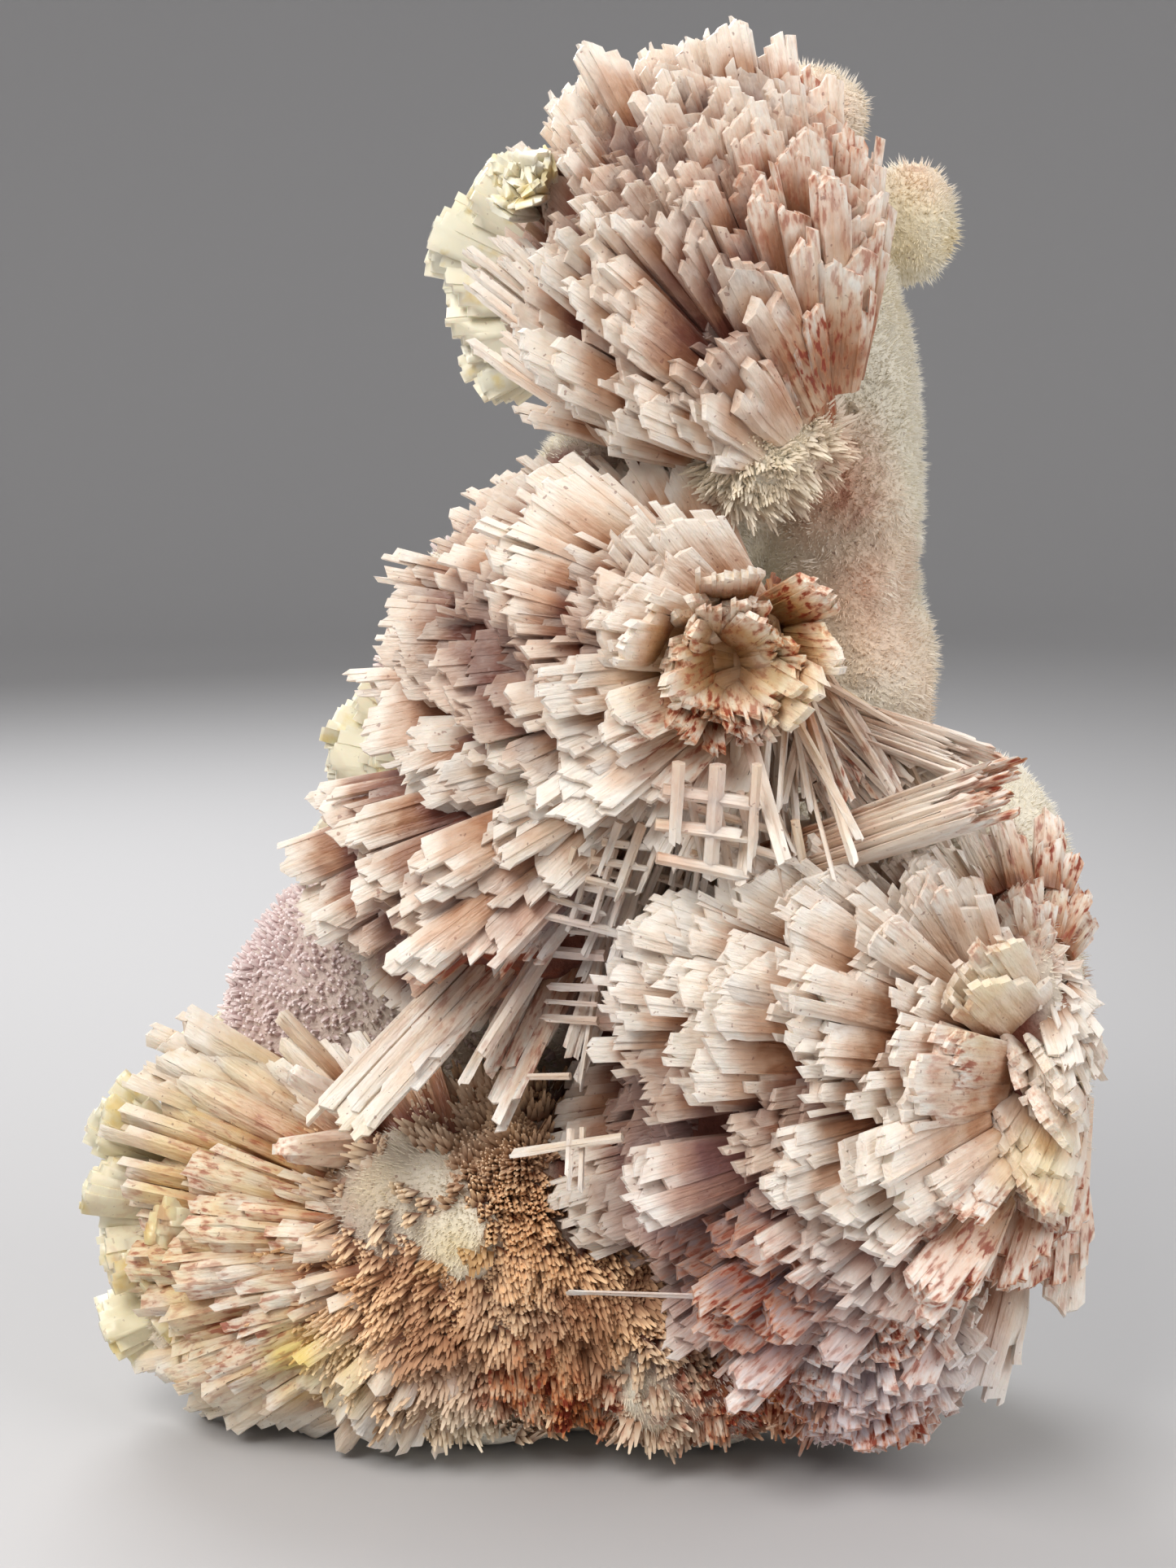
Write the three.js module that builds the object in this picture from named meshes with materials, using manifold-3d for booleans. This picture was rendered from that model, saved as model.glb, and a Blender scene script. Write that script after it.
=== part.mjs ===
// Mordenite sprays with stilbite: a free-standing mineral specimen, in millimetres.
// +X is to the right of the front view, +Y is away from it and +Z is up.
// The origin is the middle of the outline, on the surface that the specimen rests on.
// Radiating sprays of flat, step-ended plates grew together with felted lumps into one mass,
// and a few groups of tabular stilbite crystals sit on that mass.
import * as THREE from "three";
import { mergeVertices } from "three/addons/utils/BufferGeometryUtils.js";
import Module from "manifold-3d";

const wasm = await Module();
wasm.setup();

// Driving dimensions. Every place and size below is that of a specimen as tall as DRAWN_HEIGHT.
const DRAWN_HEIGHT = 145.8;
const HEIGHT = 145.8;
const UNIT = HEIGHT / DRAWN_HEIGHT; // scales every place and size at once
const MIDDLE = [-1.2, -6.9]; // middle of the outline, in the places below
const SOCKET_GAP = 0.3; // hairline round a stilbite crystal where it sits in the mass
const PLATE_LENGTH = 18; // from its root inside the mass to its stepped end
const MARKER_SHARES = [0, 0.25, 0.5]; // where a plate's distance to others is kept, from its end
const CLEARANCE = 4.6; // half the least distance between the ends of two plates
const FACE_SHAKE = 0.3; // how far plates turn away from their spray's face
const HEART_SHARE = 0.82; // a spray's solid heart, as a share of its reach
const THREE_STEPS = 0.1; // share of the plates that end in three steps, not two
const STEP_DROP = 0.12; // how far each step lies behind the leading one, as a share of the length
const END_DEPTH = [0.84, 1.04]; // between which shares of the reach the plates end
const PLATE_THICKNESS = 0.35; // as a share of the width
const ROOT_SHARE = 0.65; // a plate's width at its root, as a share of its width at its end
const GOLDEN_ANGLE = Math.PI * (3 - Math.sqrt(5));

const MORDENITE = new THREE.MeshStandardMaterial({ color: 0xe6d3c3, roughness: 0.62, metalness: 0 });
const STILBITE = new THREE.MeshStandardMaterial({ color: 0xe9e4bd, roughness: 0.38, metalness: 0 });

// The rounded lumps under and between the sprays: middle, radii and how finely they are faceted.
const LUMPS = [
  { name: "foot", at: [-12, -1, 17.5], radii: [30, 20, 21.5], detail: 1 },
  { name: "toe", at: [-36, 0, 16], radii: [14, 13, 17], detail: 1 },
  { name: "bridge", at: [10, -7, 11], radii: [17, 13, 13], detail: 1 },
  { name: "base", at: [32, 4, 27], radii: [18, 17, 30], detail: 1 },
  { name: "heel", at: [27, -12, 14], radii: [13, 13, 13], detail: 1 },
  { name: "trunk", at: [10, 9, 58], radii: [21, 15, 38], detail: 1 },
  { name: "slope", at: [-21, 13, 35], radii: [22, 14, 25], detail: 1 },
  { name: "flank", at: [-11, 15, 77], radii: [13, 10, 19], detail: 1 },
  { name: "waist", at: [8, 5, 99], radii: [15, 14, 13], detail: 1 },
  { name: "hip", at: [27.5, 6, 80], radii: [10.5, 12, 16], detail: 1 },
  { name: "neck", at: [25.5, 6, 100], radii: [11, 13, 28], detail: 1 },
  { name: "crown", at: [10, 9, 121], radii: [19, 13, 18], detail: 1 },
  { name: "knob", at: [33.5, 14, 126.4], radii: [7.1, 8, 8.2], detail: 1 },
  { name: "cap", at: [22, 13, 137], radii: [9, 8, 7.4], detail: 1 },
  { name: "shoulder", at: [41, 1, 58.5], radii: [11, 14, 15], detail: 1 },
  { name: "collar", at: [17, -9, 103.5], radii: [8.5, 8, 7.5], detail: 1 },
  { name: "side", at: [43.2, -11, 42], radii: [8.6, 16, 24], detail: 1 },
];

// Each spray's plates end on its reach, an ellipsoid, and point away from its focus, turned flatter to the
// front view by forward. axis and spread give the part of the reach that they cover, and face the way
// their flats look.
const SPRAYS = [
  { name: "head", reach: { at: [11, -2, 120], radii: [24, 26, 26.5] }, focus: [24, 2, 100], forward: 0.6,
    axis: [-0.5, -0.6, 0.72], spread: 76, face: [0.2, -1, 0.2], plates: 58, width: 9, seed: 1 },
  { name: "middle", reach: { at: [2, -3, 82], radii: [27, 31, 24] }, focus: [17, -12, 84], forward: 0.6,
    axis: [-0.5, -0.9, 0.1], spread: 84, face: [-0.2, -1, 0.3], plates: 56, width: 9, seed: 2 },
  { name: "flank", reach: { at: [-8, -4, 62], radii: [24, 23, 21] }, focus: [12, -9, 77], forward: 0.7,
    axis: [-0.6, -0.7, -0.3], spread: 66, face: [-0.2, -1, 0.4], plates: 30, width: 8.4, seed: 3 },
  { name: "ball", reach: { at: [23, -9, 37], radii: [30, 31, 36] }, focus: [48, 8, 42], forward: 0.5,
    axis: [-0.45, -1, -0.05], spread: 86, face: [-0.1, -1, 0.3], plates: 66, width: 9.8, seed: 4 },
  { name: "rear", reach: { at: [10, 8, 76], radii: [26, 20, 44] }, focus: [14, -2, 62], forward: 1,
    axis: [-0.1, 1, 0.1], spread: 62, face: [0.1, 1, 0.3], plates: 12, width: 9.4, seed: 6 },
];

// Thick rods that lie on the foot like a fan, in rows from its rim inwards: the fan's centre in the front
// view, its first and last angle, and each row's end, length, count, width and how proud it lies.
const FOOT_FAN = { centre: [-10, 25], angles: [150, 224], on: ["foot", "toe"], face: [-0.1, -1, 0.4] };
const FOOT_ROWS = [
  { end: 42, length: 20, count: 10, width: 4.4, proud: 0.5 },
  { end: 31, length: 18, count: 7, width: 4, proud: 2 },
];

// Plates that stand round a dark middle where the middle spray starts, and point at the front.
const ROSETTE = { at: [13, -34, 85], ring: 6.5, count: 8, lean: 0.4, length: 15, size: [5.6, 1.8] };

// The felt below the head shows here in the front view: no spray's plate ends within the radius.
const CLEARING = { at: [19, 102], radius: 11 };

// Single long crystals between the sprays, which plunge from the flank on to the foot, lie as two bundles
// on the shoulder and stand as rods on the head's left: root, tip, the way the flat looks, width, thickness.
const BLADES = [
  { from: [-5, -10, 58], to: [-26, -21, 37.5], face: [-0.4, -1, 0.5], size: [6.5, 2.2], steps: 2 },
  { from: [-7, -9, 55], to: [-19.3, -19, 42.7], face: [-0.4, -1, 0.5], size: [5.5, 2], steps: 2 },
  { from: [-2, -9, 54], to: [-10.6, -19, 38.1], face: [-0.2, -1, 0.5], size: [5, 2], steps: 2 },
  { from: [4, -12, 67], to: [-8.7, -20, 52.4], face: [-0.4, -1, 0.4], size: [4, 2], steps: 2 },
  { from: [16, -20, 64], to: [40.8, -29, 74.7], face: [0, -1, 0.6], size: [5.5, 3.5], steps: 2 },
  { from: [17, -15, 81], to: [39.5, -24, 74], face: [0, -1, 0.5], size: [4, 2.5], steps: 2 },
  { from: [8, -10, 106], to: [-14.5, -5, 123.5], face: [-0.3, -1, 0.3], size: [3.6, 2.4], steps: 1 },
  { from: [8, -12, 108], to: [-9.6, -9, 125], face: [-0.3, -1, 0.3], size: [3.4, 2.4], steps: 1 },
  { from: [6, -11, 103], to: [-12, -7, 116], face: [-0.3, -1, 0.3], size: [3.6, 2.4], steps: 1 },
];

// The open grid of laths between the middle spray and the ball: its corner, its two directions and its size.
const LATTICE = { corner: [8.5, -25, 76.5], down: [0.1, 0.15, -1], along: [1, 0.1, -0.25],
  lath: 1.5, pitch: 4.2, uprights: 3, rungs: 2, reach: 13 };

// Groups of stilbite crystals: the tips of their tablets, which point away from the group's focus.
const STILBITES = [
  { name: "stilbite_head", focus: [4, 4, 118], length: 11, size: [7.5, 4.6], face: [-0.5, -1, 0.3],
    tips: [[-16.6, 5, 126], [-15.8, 6, 120], [-12, 4, 132], [-15, 6, 114], [-12.6, 7, 109.5]] },
  { name: "stilbite_flank", focus: [-12, 10, 68], length: 9, size: [6.5, 4.4], face: [-0.3, -1, 0.4],
    tips: [[-28.8, 13, 74.3], [-25.5, 12, 78], [-29.2, 11, 70.6], [-25, 8, 72]] },
  { name: "stilbite_slope", focus: [-18, 14, 54], length: 8, size: [5.5, 3.8], face: [-0.3, -1, 0.4],
    tips: [[-33.6, 14, 59.1], [-31.5, 12, 55.6], [-30.8, 13, 62.5]] },
  { name: "stilbite_foot", focus: [-30, 3, 20], length: 10, size: [8.5, 5.4], face: [-0.5, -1, 0.3],
    tips: [[-53.6, 0, 34], [-54.4, -2, 26.4], [-53.4, -3, 18.5], [-52.6, -4, 9],
      [-46, -10, 24], [-46.5, -9, 13]] },
  { name: "stilbite_hump", focus: [-36, 14, 28], length: 8, size: [5.5, 3.8], face: [-0.2, -1, 0.3],
    tips: [[-45.8, 10, 39.6], [-42.6, 11, 41], [-39.6, 9, 39]] },
];

// A repeatable number from 0 to 1 for the i-th thing of a kind.
function chance(i, kind) {
  const wave = Math.sin(i * 12.9898 + kind * 78.233) * 43758.5453;
  return wave - Math.floor(wave);
}

// A repeatable factor round 1 for the i-th thing of a kind, from 1 - share to 1 + share.
function vary(share, i, kind) {
  return 1 + share * (2 * chance(i, kind) - 1);
}

// A closed geometry as a solid.
function solid(geometry) {
  const bare = geometry.index ? geometry.toNonIndexed() : geometry;
  bare.deleteAttribute("normal");
  bare.deleteAttribute("uv");
  const merged = mergeVertices(bare, 1e-4);
  return new wasm.Manifold(new wasm.Mesh({
    numProp: 3,
    vertProperties: merged.attributes.position.array,
    triVerts: new Uint32Array(merged.index.array),
  }));
}

// A rounded, slightly uneven lump.
function lump({ at, radii, detail }, order) {
  const ball = new THREE.IcosahedronGeometry(1, detail);
  const spots = ball.attributes.position;
  const spot = new THREE.Vector3();
  for (let i = 0; i < spots.count; i++) {
    spot.fromBufferAttribute(spots, i);
    const swell = 1 + 0.05 * Math.sin(4.1 * spot.x + order) * Math.cos(3.7 * spot.y - 2 * order)
      + 0.04 * Math.sin(5.3 * spot.z + 1.7 * order);
    spots.setXYZ(i, at[0] + radii[0] * swell * spot.x, at[1] + radii[1] * swell * spot.y,
      at[2] + radii[2] * swell * spot.z);
  }
  return solid(ball);
}

// The i-th place on a spray's reach: a golden-angle spiral over the part that it covers, shaken a little.
function endOf(spray, i) {
  const axis = new THREE.Vector3(...spray.axis).normalize();
  const side = new THREE.Vector3(0.1, 0.2, 1).cross(axis).normalize();
  const up = axis.clone().cross(side);
  const share = (i + 0.5) / spray.plates;
  const tilt = Math.acos(1 - share * (1 - Math.cos(THREE.MathUtils.degToRad(spray.spread))));
  const turn = i * GOLDEN_ANGLE + 0.3 * (chance(i, spray.seed) - 0.5);
  const radial = axis.multiplyScalar(Math.cos(tilt))
    .addScaledVector(side, Math.sin(tilt) * Math.cos(turn))
    .addScaledVector(up, Math.sin(tilt) * Math.sin(turn));
  const depth = END_DEPTH[0] + (END_DEPTH[1] - END_DEPTH[0]) * chance(i, spray.seed + 3);
  return radial.multiply(new THREE.Vector3(...spray.reach.radii)).multiplyScalar(depth)
    .add(new THREE.Vector3(...spray.reach.at));
}

// A plate's outline: as wide as its root there, wider outwards, ending in steps about as wide as its laths.
function plateOutline({ seed, i, length, width, rootWidth, steps }) {
  const lead = Math.floor(steps * chance(i, seed + 11));
  const corners = [[-rootWidth / 2, 0], [rootWidth / 2, 0]];
  for (let k = steps - 1; k >= 0; k--) {
    const end = length * (1 - STEP_DROP * Math.abs(k - lead) - 0.05 * chance(i + k, seed + 12));
    corners.push([width * ((k + 1) / steps - 0.5), end - 0.1 * width]);
    corners.push([width * (k / steps - 0.5), end]);
  }
  return new THREE.Shape(corners.map(([x, y]) => new THREE.Vector2(x, y)));
}

// A plate that ends at a place, points along way and looks along face, with markers along its middle.
function plateAt(end, way, face, sizes) {
  const across = way.clone().cross(face).normalize();
  const normal = across.clone().cross(way);
  const markers = MARKER_SHARES.map((share) => end.clone().addScaledVector(way, -sizes.length * share));
  return { ...sizes, end, way, across, normal, markers };
}

// The i-th plate of a spray: where it ends, how big it is and which way it faces.
function plateOf(spray, i) {
  const { seed } = spray;
  const end = endOf(spray, i);
  const away = end.clone().sub(new THREE.Vector3(...spray.focus));
  away.y *= spray.forward;
  const length = Math.min(PLATE_LENGTH * vary(0.15, i, seed + 4), 0.95 * away.length());
  const width = spray.width * vary(0.25, i, seed + 5);
  const thick = PLATE_THICKNESS * width * vary(0.2, i, seed + 7);
  const face = new THREE.Vector3(...spray.face).normalize();
  face.x += FACE_SHAKE * (chance(i, seed + 8) - 0.5);
  face.z += FACE_SHAKE * (chance(i, seed + 9) - 0.5);
  const steps = chance(i, seed + 10) < THREE_STEPS ? 3 : 2;
  const sizes = { seed, i, length, width, rootWidth: ROOT_SHARE * width, thick, steps };
  return plateAt(end, away.normalize(), face, sizes);
}

// A single long crystal from its root to its tip.
function bladeOf({ from, to, face, size: [width, thick], steps }, i) {
  const end = new THREE.Vector3(...to);
  const way = end.clone().sub(new THREE.Vector3(...from));
  const length = way.length();
  const sizes = { seed: 20, i, length, width, rootWidth: 0.8 * width, thick, steps };
  return plateAt(end, way.normalize(), new THREE.Vector3(...face), sizes);
}

// How far forward the front of some lumps lies at a place of the front view.
function frontOf(names, x, z) {
  return Math.min(...LUMPS.filter(({ name }) => names.includes(name)).map(({ at, radii }) => {
    const left = 1 - ((x - at[0]) / radii[0]) ** 2 - ((z - at[2]) / radii[2]) ** 2;
    return at[1] - radii[1] * Math.sqrt(Math.max(left, 0));
  }));
}

// The rods of the foot's fan, row by row.
function footRods() {
  const [first, last] = FOOT_FAN.angles.map(THREE.MathUtils.degToRad);
  const made = [];
  FOOT_ROWS.forEach(({ end, length, count, width, proud }, row) => {
    for (let k = 0; k < count; k++) {
      const i = 30 * row + k;
      const angle = first + (last - first) * (k + 0.2 + 0.6 * chance(i, 41)) / count;
      const [from, to] = [end - length, end * vary(0.06, i, 42)].map((far) => {
        const x = FOOT_FAN.centre[0] + far * Math.cos(angle);
        const z = Math.max(FOOT_FAN.centre[1] + far * Math.sin(angle), 1);
        return [x, frontOf(FOOT_FAN.on, x, z), z];
      });
      from[1] += 1;
      to[1] -= proud * 2 * chance(i, 43);
      const size = [width * vary(0.25, i, 44), 0.75 * width * vary(0.2, i, 45)];
      made.push({ from, to, face: FOOT_FAN.face, size, steps: 1 });
    }
  });
  return made;
}

// The plates of the rosette.
function rosettePlates() {
  return Array.from({ length: ROSETTE.count }, (_, k) => {
    const angle = 2 * Math.PI * (k + 0.5 * chance(k, 46)) / ROSETTE.count;
    const [x, z] = [Math.cos(angle), Math.sin(angle)];
    const [atX, atY, atZ] = ROSETTE.at;
    const near = atY + 4 * chance(k, 47);
    const to = [atX + ROSETTE.ring * x, near, atZ + ROSETTE.ring * z];
    const from = [to[0] - ROSETTE.lean * ROSETTE.length * x, near + ROSETTE.length,
      to[2] - ROSETTE.lean * ROSETTE.length * z];
    return { from, to, face: [x, 0.3, z], size: ROSETTE.size, steps: 2 };
  });
}

// Whether a plate would stand in another one: their axes come too close somewhere outside the mass.
function crowds(plate, other) {
  return plate.markers.some((spot, k) => other.markers.some((taken, j) =>
    spot.distanceTo(taken) < CLEARANCE * (2 - MARKER_SHARES[k] - MARKER_SHARES[j])));
}

// Whether a place in front of the mass hides the felt below the head.
function overClearing({ x, y, z }) {
  const [atX, atZ] = CLEARING.at;
  return y < 0 && Math.hypot(x - atX, z - atZ) < CLEARING.radius;
}

// The long crystals and the plates of every spray, without those that would stand in one another.
function plates() {
  const kept = [...BLADES, ...rosettePlates(), ...footRods()].map(bladeOf);
  for (const spray of SPRAYS) {
    for (let i = 0; i < spray.plates; i++) {
      const candidate = plateOf(spray, i);
      if (overClearing(candidate.end) || kept.some((other) => crowds(candidate, other))) continue;
      kept.push(candidate);
    }
  }
  return kept;
}

// An outline drawn on across and way from a root, made as thick as wanted along normal.
function slab(outline, thick, across, way, normal, root) {
  const geometry = new THREE.ExtrudeGeometry(outline, { depth: thick, bevelEnabled: false });
  return geometry.applyMatrix4(new THREE.Matrix4().makeBasis(across, way, normal).setPosition(root));
}

// A plate as a solid, from inside the mass out to its stepped end.
function plateSolid(plate) {
  const { end, way, length, thick, across, normal } = plate;
  const root = end.clone().addScaledVector(way, -length).addScaledVector(normal, -thick / 2);
  return solid(slab(plateOutline(plate), thick, across, way, normal, root));
}

// The laths of the open grid, uprights first and then the rungs that lie across them.
function latticeLaths() {
  const { corner, lath, pitch, uprights, rungs, reach } = LATTICE;
  const down = new THREE.Vector3(...LATTICE.down).normalize();
  const along = new THREE.Vector3(...LATTICE.along).normalize();
  const out = along.clone().cross(down);
  const made = [];
  const lay = (start, way, side, length) => {
    const bar = new THREE.BoxGeometry(lath, length, lath).translate(0, length / 2, 0);
    bar.applyMatrix4(new THREE.Matrix4().makeBasis(side, way, side.clone().cross(way)).setPosition(start));
    made.push(solid(bar));
  };
  const first = new THREE.Vector3(...corner);
  for (let i = 0; i < uprights; i++) {
    lay(first.clone().addScaledVector(along, i * pitch).addScaledVector(down, -2), down, along, reach);
  }
  for (let i = 0; i < rungs; i++) {
    const start = first.clone().addScaledVector(down, (i + 0.5) * pitch).addScaledVector(along, -3);
    lay(start.addScaledVector(out, 0.5 * lath), along, down.clone().negate(), reach + 2);
  }
  return made;
}

// A spray's solid heart, which its plates stand in.
function heart({ reach }, order) {
  return lump({ at: reach.at, radii: reach.radii.map((r) => r * HEART_SHARE), detail: 0 }, order);
}

// One stilbite tablet, made larger by grow on every side where its socket is wanted.
function tablet({ focus, length, size, face }, tip, i, grow) {
  const [width, thick] = size.map((full) => full * vary(0.15, i, 31) + 2 * grow);
  const end = new THREE.Vector3(...tip);
  const way = end.clone().sub(new THREE.Vector3(...focus)).normalize();
  const looks = new THREE.Vector3(...face);
  looks.x += 0.8 * (chance(i, 32) - 0.5);
  const across = way.clone().cross(looks).normalize();
  const normal = across.clone().cross(way);
  const full = length + 2 * grow;
  const corners = [[-0.5, 0], [0.5, 0], [0.5, full - 0.3 * width], [0.12, full], [-0.5, full - 0.2 * width]];
  const shape = new THREE.Shape(corners.map(([x, y]) => new THREE.Vector2(x * width, y)));
  const root = end.addScaledVector(way, grow - full).addScaledVector(normal, -thick / 2);
  return solid(slab(shape, thick, across, way, normal, root));
}

// A group of stilbite tablets grown together, or with grow the room that it takes in the mass.
function stilbiteGroup(group, grow) {
  const grown = wasm.Manifold.union(group.tips.map((tip, i) => tablet(group, tip, i, grow)));
  if (grown.decompose().length > 1) throw new Error(group.name + " falls apart");
  return grown;
}

// The whole mordenite mass, cut off flat below, without the chips that cutting the sockets leaves.
function mordeniteMass() {
  const grown = [...LUMPS.map(lump), ...SPRAYS.map(heart), ...plates().map(plateSolid), ...latticeLaths()];
  const sockets = STILBITES.map((group) => stilbiteGroup(group, SOCKET_GAP));
  const below = solid(new THREE.BoxGeometry(400, 400, 100).translate(0, 0, -50));
  const mass = wasm.Manifold.union(grown).subtract(wasm.Manifold.union([below, ...sockets]));
  return mass.decompose().sort((a, b) => b.volume() - a.volume())[0];
}

// A solid as a named mesh.
function node(name, made, material) {
  const { numProp, vertProperties, triVerts, numVert } = made.getMesh();
  const spots = new Float32Array(numVert * 3);
  for (let i = 0; i < numVert; i++) spots.set(vertProperties.subarray(i * numProp, i * numProp + 3), i * 3);
  const geometry = new THREE.BufferGeometry();
  geometry.setAttribute("position", new THREE.BufferAttribute(spots, 3));
  geometry.setIndex(new THREE.BufferAttribute(triVerts, 1));
  geometry.computeVertexNormals();
  const mesh = new THREE.Mesh(geometry, material);
  mesh.name = name;
  return mesh;
}

const specimen = new THREE.Group();
specimen.add(node("mordenite_mass", mordeniteMass(), MORDENITE));
for (const group of STILBITES) specimen.add(node(group.name, stilbiteGroup(group, 0), STILBITE));
specimen.scale.setScalar(UNIT);
specimen.position.set(-MIDDLE[0] * UNIT, -MIDDLE[1] * UNIT, 0);
export default specimen;
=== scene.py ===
"""A mordenite specimen with stilbite: sprays of lath-built plates on felted, velvety and drusy lumps."""
import math

import bmesh
import bpy
import numpy as np
from mathutils import Matrix, Vector, noise


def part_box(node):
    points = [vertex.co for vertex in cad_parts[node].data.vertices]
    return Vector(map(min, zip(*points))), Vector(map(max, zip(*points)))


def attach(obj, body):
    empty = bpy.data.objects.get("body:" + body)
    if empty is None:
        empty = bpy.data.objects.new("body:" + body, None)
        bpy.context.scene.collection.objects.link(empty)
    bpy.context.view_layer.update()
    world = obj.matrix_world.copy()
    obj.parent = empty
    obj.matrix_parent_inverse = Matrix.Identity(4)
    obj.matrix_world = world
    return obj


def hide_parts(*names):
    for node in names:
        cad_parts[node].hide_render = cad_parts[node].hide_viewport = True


bl_info = {
    "name": "Mordenite specimen",
    "version": (1, 0, 0),
    "blender": (4, 5, 0),
    "location": "View3D > Sidebar > Mordenite",
    "description": "Builds a mordenite and stilbite specimen round its packed solids",
    "category": "Add Mesh",
}

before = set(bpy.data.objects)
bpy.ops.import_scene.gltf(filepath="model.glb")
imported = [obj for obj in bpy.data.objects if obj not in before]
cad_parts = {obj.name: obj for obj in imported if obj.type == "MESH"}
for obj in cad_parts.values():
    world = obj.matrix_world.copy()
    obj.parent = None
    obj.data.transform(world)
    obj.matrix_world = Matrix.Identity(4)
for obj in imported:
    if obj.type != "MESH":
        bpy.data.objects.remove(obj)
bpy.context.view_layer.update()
BODY = "root"
MASS_NODE = "mordenite_mass"

# Places are in millimetres, as in the solids' source, before the outline's middle moves to the origin.
DRAWN_HEIGHT = 145.8
MIDDLE = np.array([-1.2, -6.9, 0.0])
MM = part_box(MASS_NODE)[1].z / DRAWN_HEIGHT

# The camera: the photo's size and focal length in its pixels, the place, and the angle from straight down.
PHOTO_SIZE = (1445, 1927)
PHOTO_FOCAL = 2957
CAMERA_PLACE = (0, -246.2, 112.4)
CAMERA_DEGREES = 80

# The rounded lumps: middle and radii.
LUMPS = {
    "foot": ((-12, -1, 17.5), (30, 20, 21.5)),
    "toe": ((-36, 0, 16), (14, 13, 17)),
    "bridge": ((10, -7, 11), (17, 13, 13)),
    "base": ((32, 4, 27), (18, 17, 30)),
    "heel": ((27, -12, 14), (13, 13, 13)),
    "trunk": ((10, 9, 58), (21, 15, 38)),
    "slope": ((-21, 13, 35), (22, 14, 25)),
    "flank": ((-11, 15, 77), (13, 10, 19)),
    "waist": ((8, 5, 99), (15, 14, 13)),
    "hip": ((27.5, 6, 80), (10.5, 12, 16)),
    "neck": ((25.5, 6, 100), (11, 13, 28)),
    "crown": ((10, 9, 121), (19, 13, 18)),
    "knob": ((33.5, 14, 126.4), (7.1, 8, 8.2)),
    "cap": ((22, 13, 137), (9, 8, 7.4)),
    "shoulder": ((41, 1, 58.5), (11, 14, 15)),
    "collar": ((17, -9, 103.5), (8.5, 8, 7.5)),
    "side": ((43.2, -11, 42), (8.6, 16, 24)),
}

PLATE_LENGTH = 18

# Each spray's plates end on its reach, an ellipsoid, and point away from its focus.
SPRAYS = {
    "head": dict(reach=((11, -2, 120), (24, 26, 26.5)), focus=(24, 2, 100), axis=(-0.5, -0.6, 0.72),
                 spread=76, face=(0.2, -1, 0.2), plates=58, width=9, seed=1, forward=0.6, warmth=0.6,
                 whole=0.15, point=0.8),
    "middle": dict(reach=((2, -3, 82), (27, 31, 24)), focus=(17, -12, 84), axis=(-0.5, -0.9, 0.1),
                   spread=84, face=(-0.2, -1, 0.3), plates=56, width=9, seed=2, forward=0.6, warmth=0.45,
                   whole=0.6),
    "flank": dict(reach=((-8, -4, 62), (24, 23, 21)), focus=(12, -9, 77), axis=(-0.6, -0.7, -0.3),
                  spread=66, face=(-0.2, -1, 0.4), plates=30, width=8.4, seed=3, forward=0.7, warmth=0.6,
                  whole=0.3),
    "ball": dict(reach=((23, -9, 37), (30, 31, 36)), focus=(48, 8, 42), axis=(-0.45, -1, -0.05),
                 spread=86, face=(-0.1, -1, 0.3), plates=66, width=9.8, seed=4, forward=0.5, warmth=0.25,
                 whole=0.5),
    "rear": dict(reach=((10, 8, 76), (26, 20, 44)), focus=(14, -2, 62), axis=(-0.1, 1, 0.1),
                 spread=62, face=(0.1, 1, 0.3), plates=12, width=9.4, seed=6, forward=1.0, warmth=0.5,
                 whole=0.5),
}
ROOT_SHARE = 0.65
MARKER_SHARES = np.array([0, 0.25, 0.5])
CLEARANCE = 4.6
FACE_SHAKE = 0.3
END_DEPTH = (0.84, 1.04)
PLATE_THICKNESS = 0.35
GOLDEN_ANGLE = math.pi * (3 - math.sqrt(5))

# The shorter plates between the leading ones: how many more, how deep they end, their size and spacing.
FILL_SHARE = 8
FILL_DEPTH = (0.64, 0.95)
FILL_SIZE = 0.62
FILL_CLEARANCE = 1.5

# Below this height the back has no shorter plates, and a rod of the foot under this width is a thin one.
REAR_FOOT = 70
THIN_ROD = 2.8

# Rods that lie on a lump like a fan: the fan's centre in the front view, the lumps, the way the flats look
# and the rows, each with its ends' distance, length, count, width, how proud it lies, first and last angle.
FOOT_FAN = dict(centre=(-10, 25), on=("foot", "toe"), under=("foot", "toe", "slope"), face=(-0.1, -1, 0.4),
                shift=0, rows=[
    (42, 20, 10, 4.4, 0.5, 150, 224), (31, 18, 7, 4.0, 2.0, 150, 224),
    (40, 20, 18, 4.2, 0.5, 138, 228), (37, 20, 22, 4.2, 0.9, 120, 238), (33, 16, 19, 3.6, 1.2, 112, 246),
    (29, 14, 21, 3.0, 1.4, 104, 252), (25, 13, 24, 2.4, 1.4, 98, 262), (21, 11, 26, 1.9, 1.3, 100, 262),
])
LEADING_ROWS = 2

# Rods of the foot that stand off the lumps end left of and above this corner, and none ends above the top.
FOOT_CORNER = (-28, 28)
FOOT_TOP = 45.5
SIDE_FAN = dict(centre=(43.4, 54.5), on=("side", "shoulder"), under=("side", "shoulder"),
                face=(0.1, -1, 0.2), shift=400, rows=[
    (5, 4, 14, 1.2, 1.0, 0, 360), (9, 6, 20, 2.4, 1.2, -80, 200), (14, 7, 24, 3.0, 1.0, 30, 320),
    (20, 8, 24, 3.4, 1.0, 20, 330), (26, 8, 22, 3.8, 0.8, 200, 330), (33, 9, 18, 3.6, 0.6, 215, 320),
])

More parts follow.
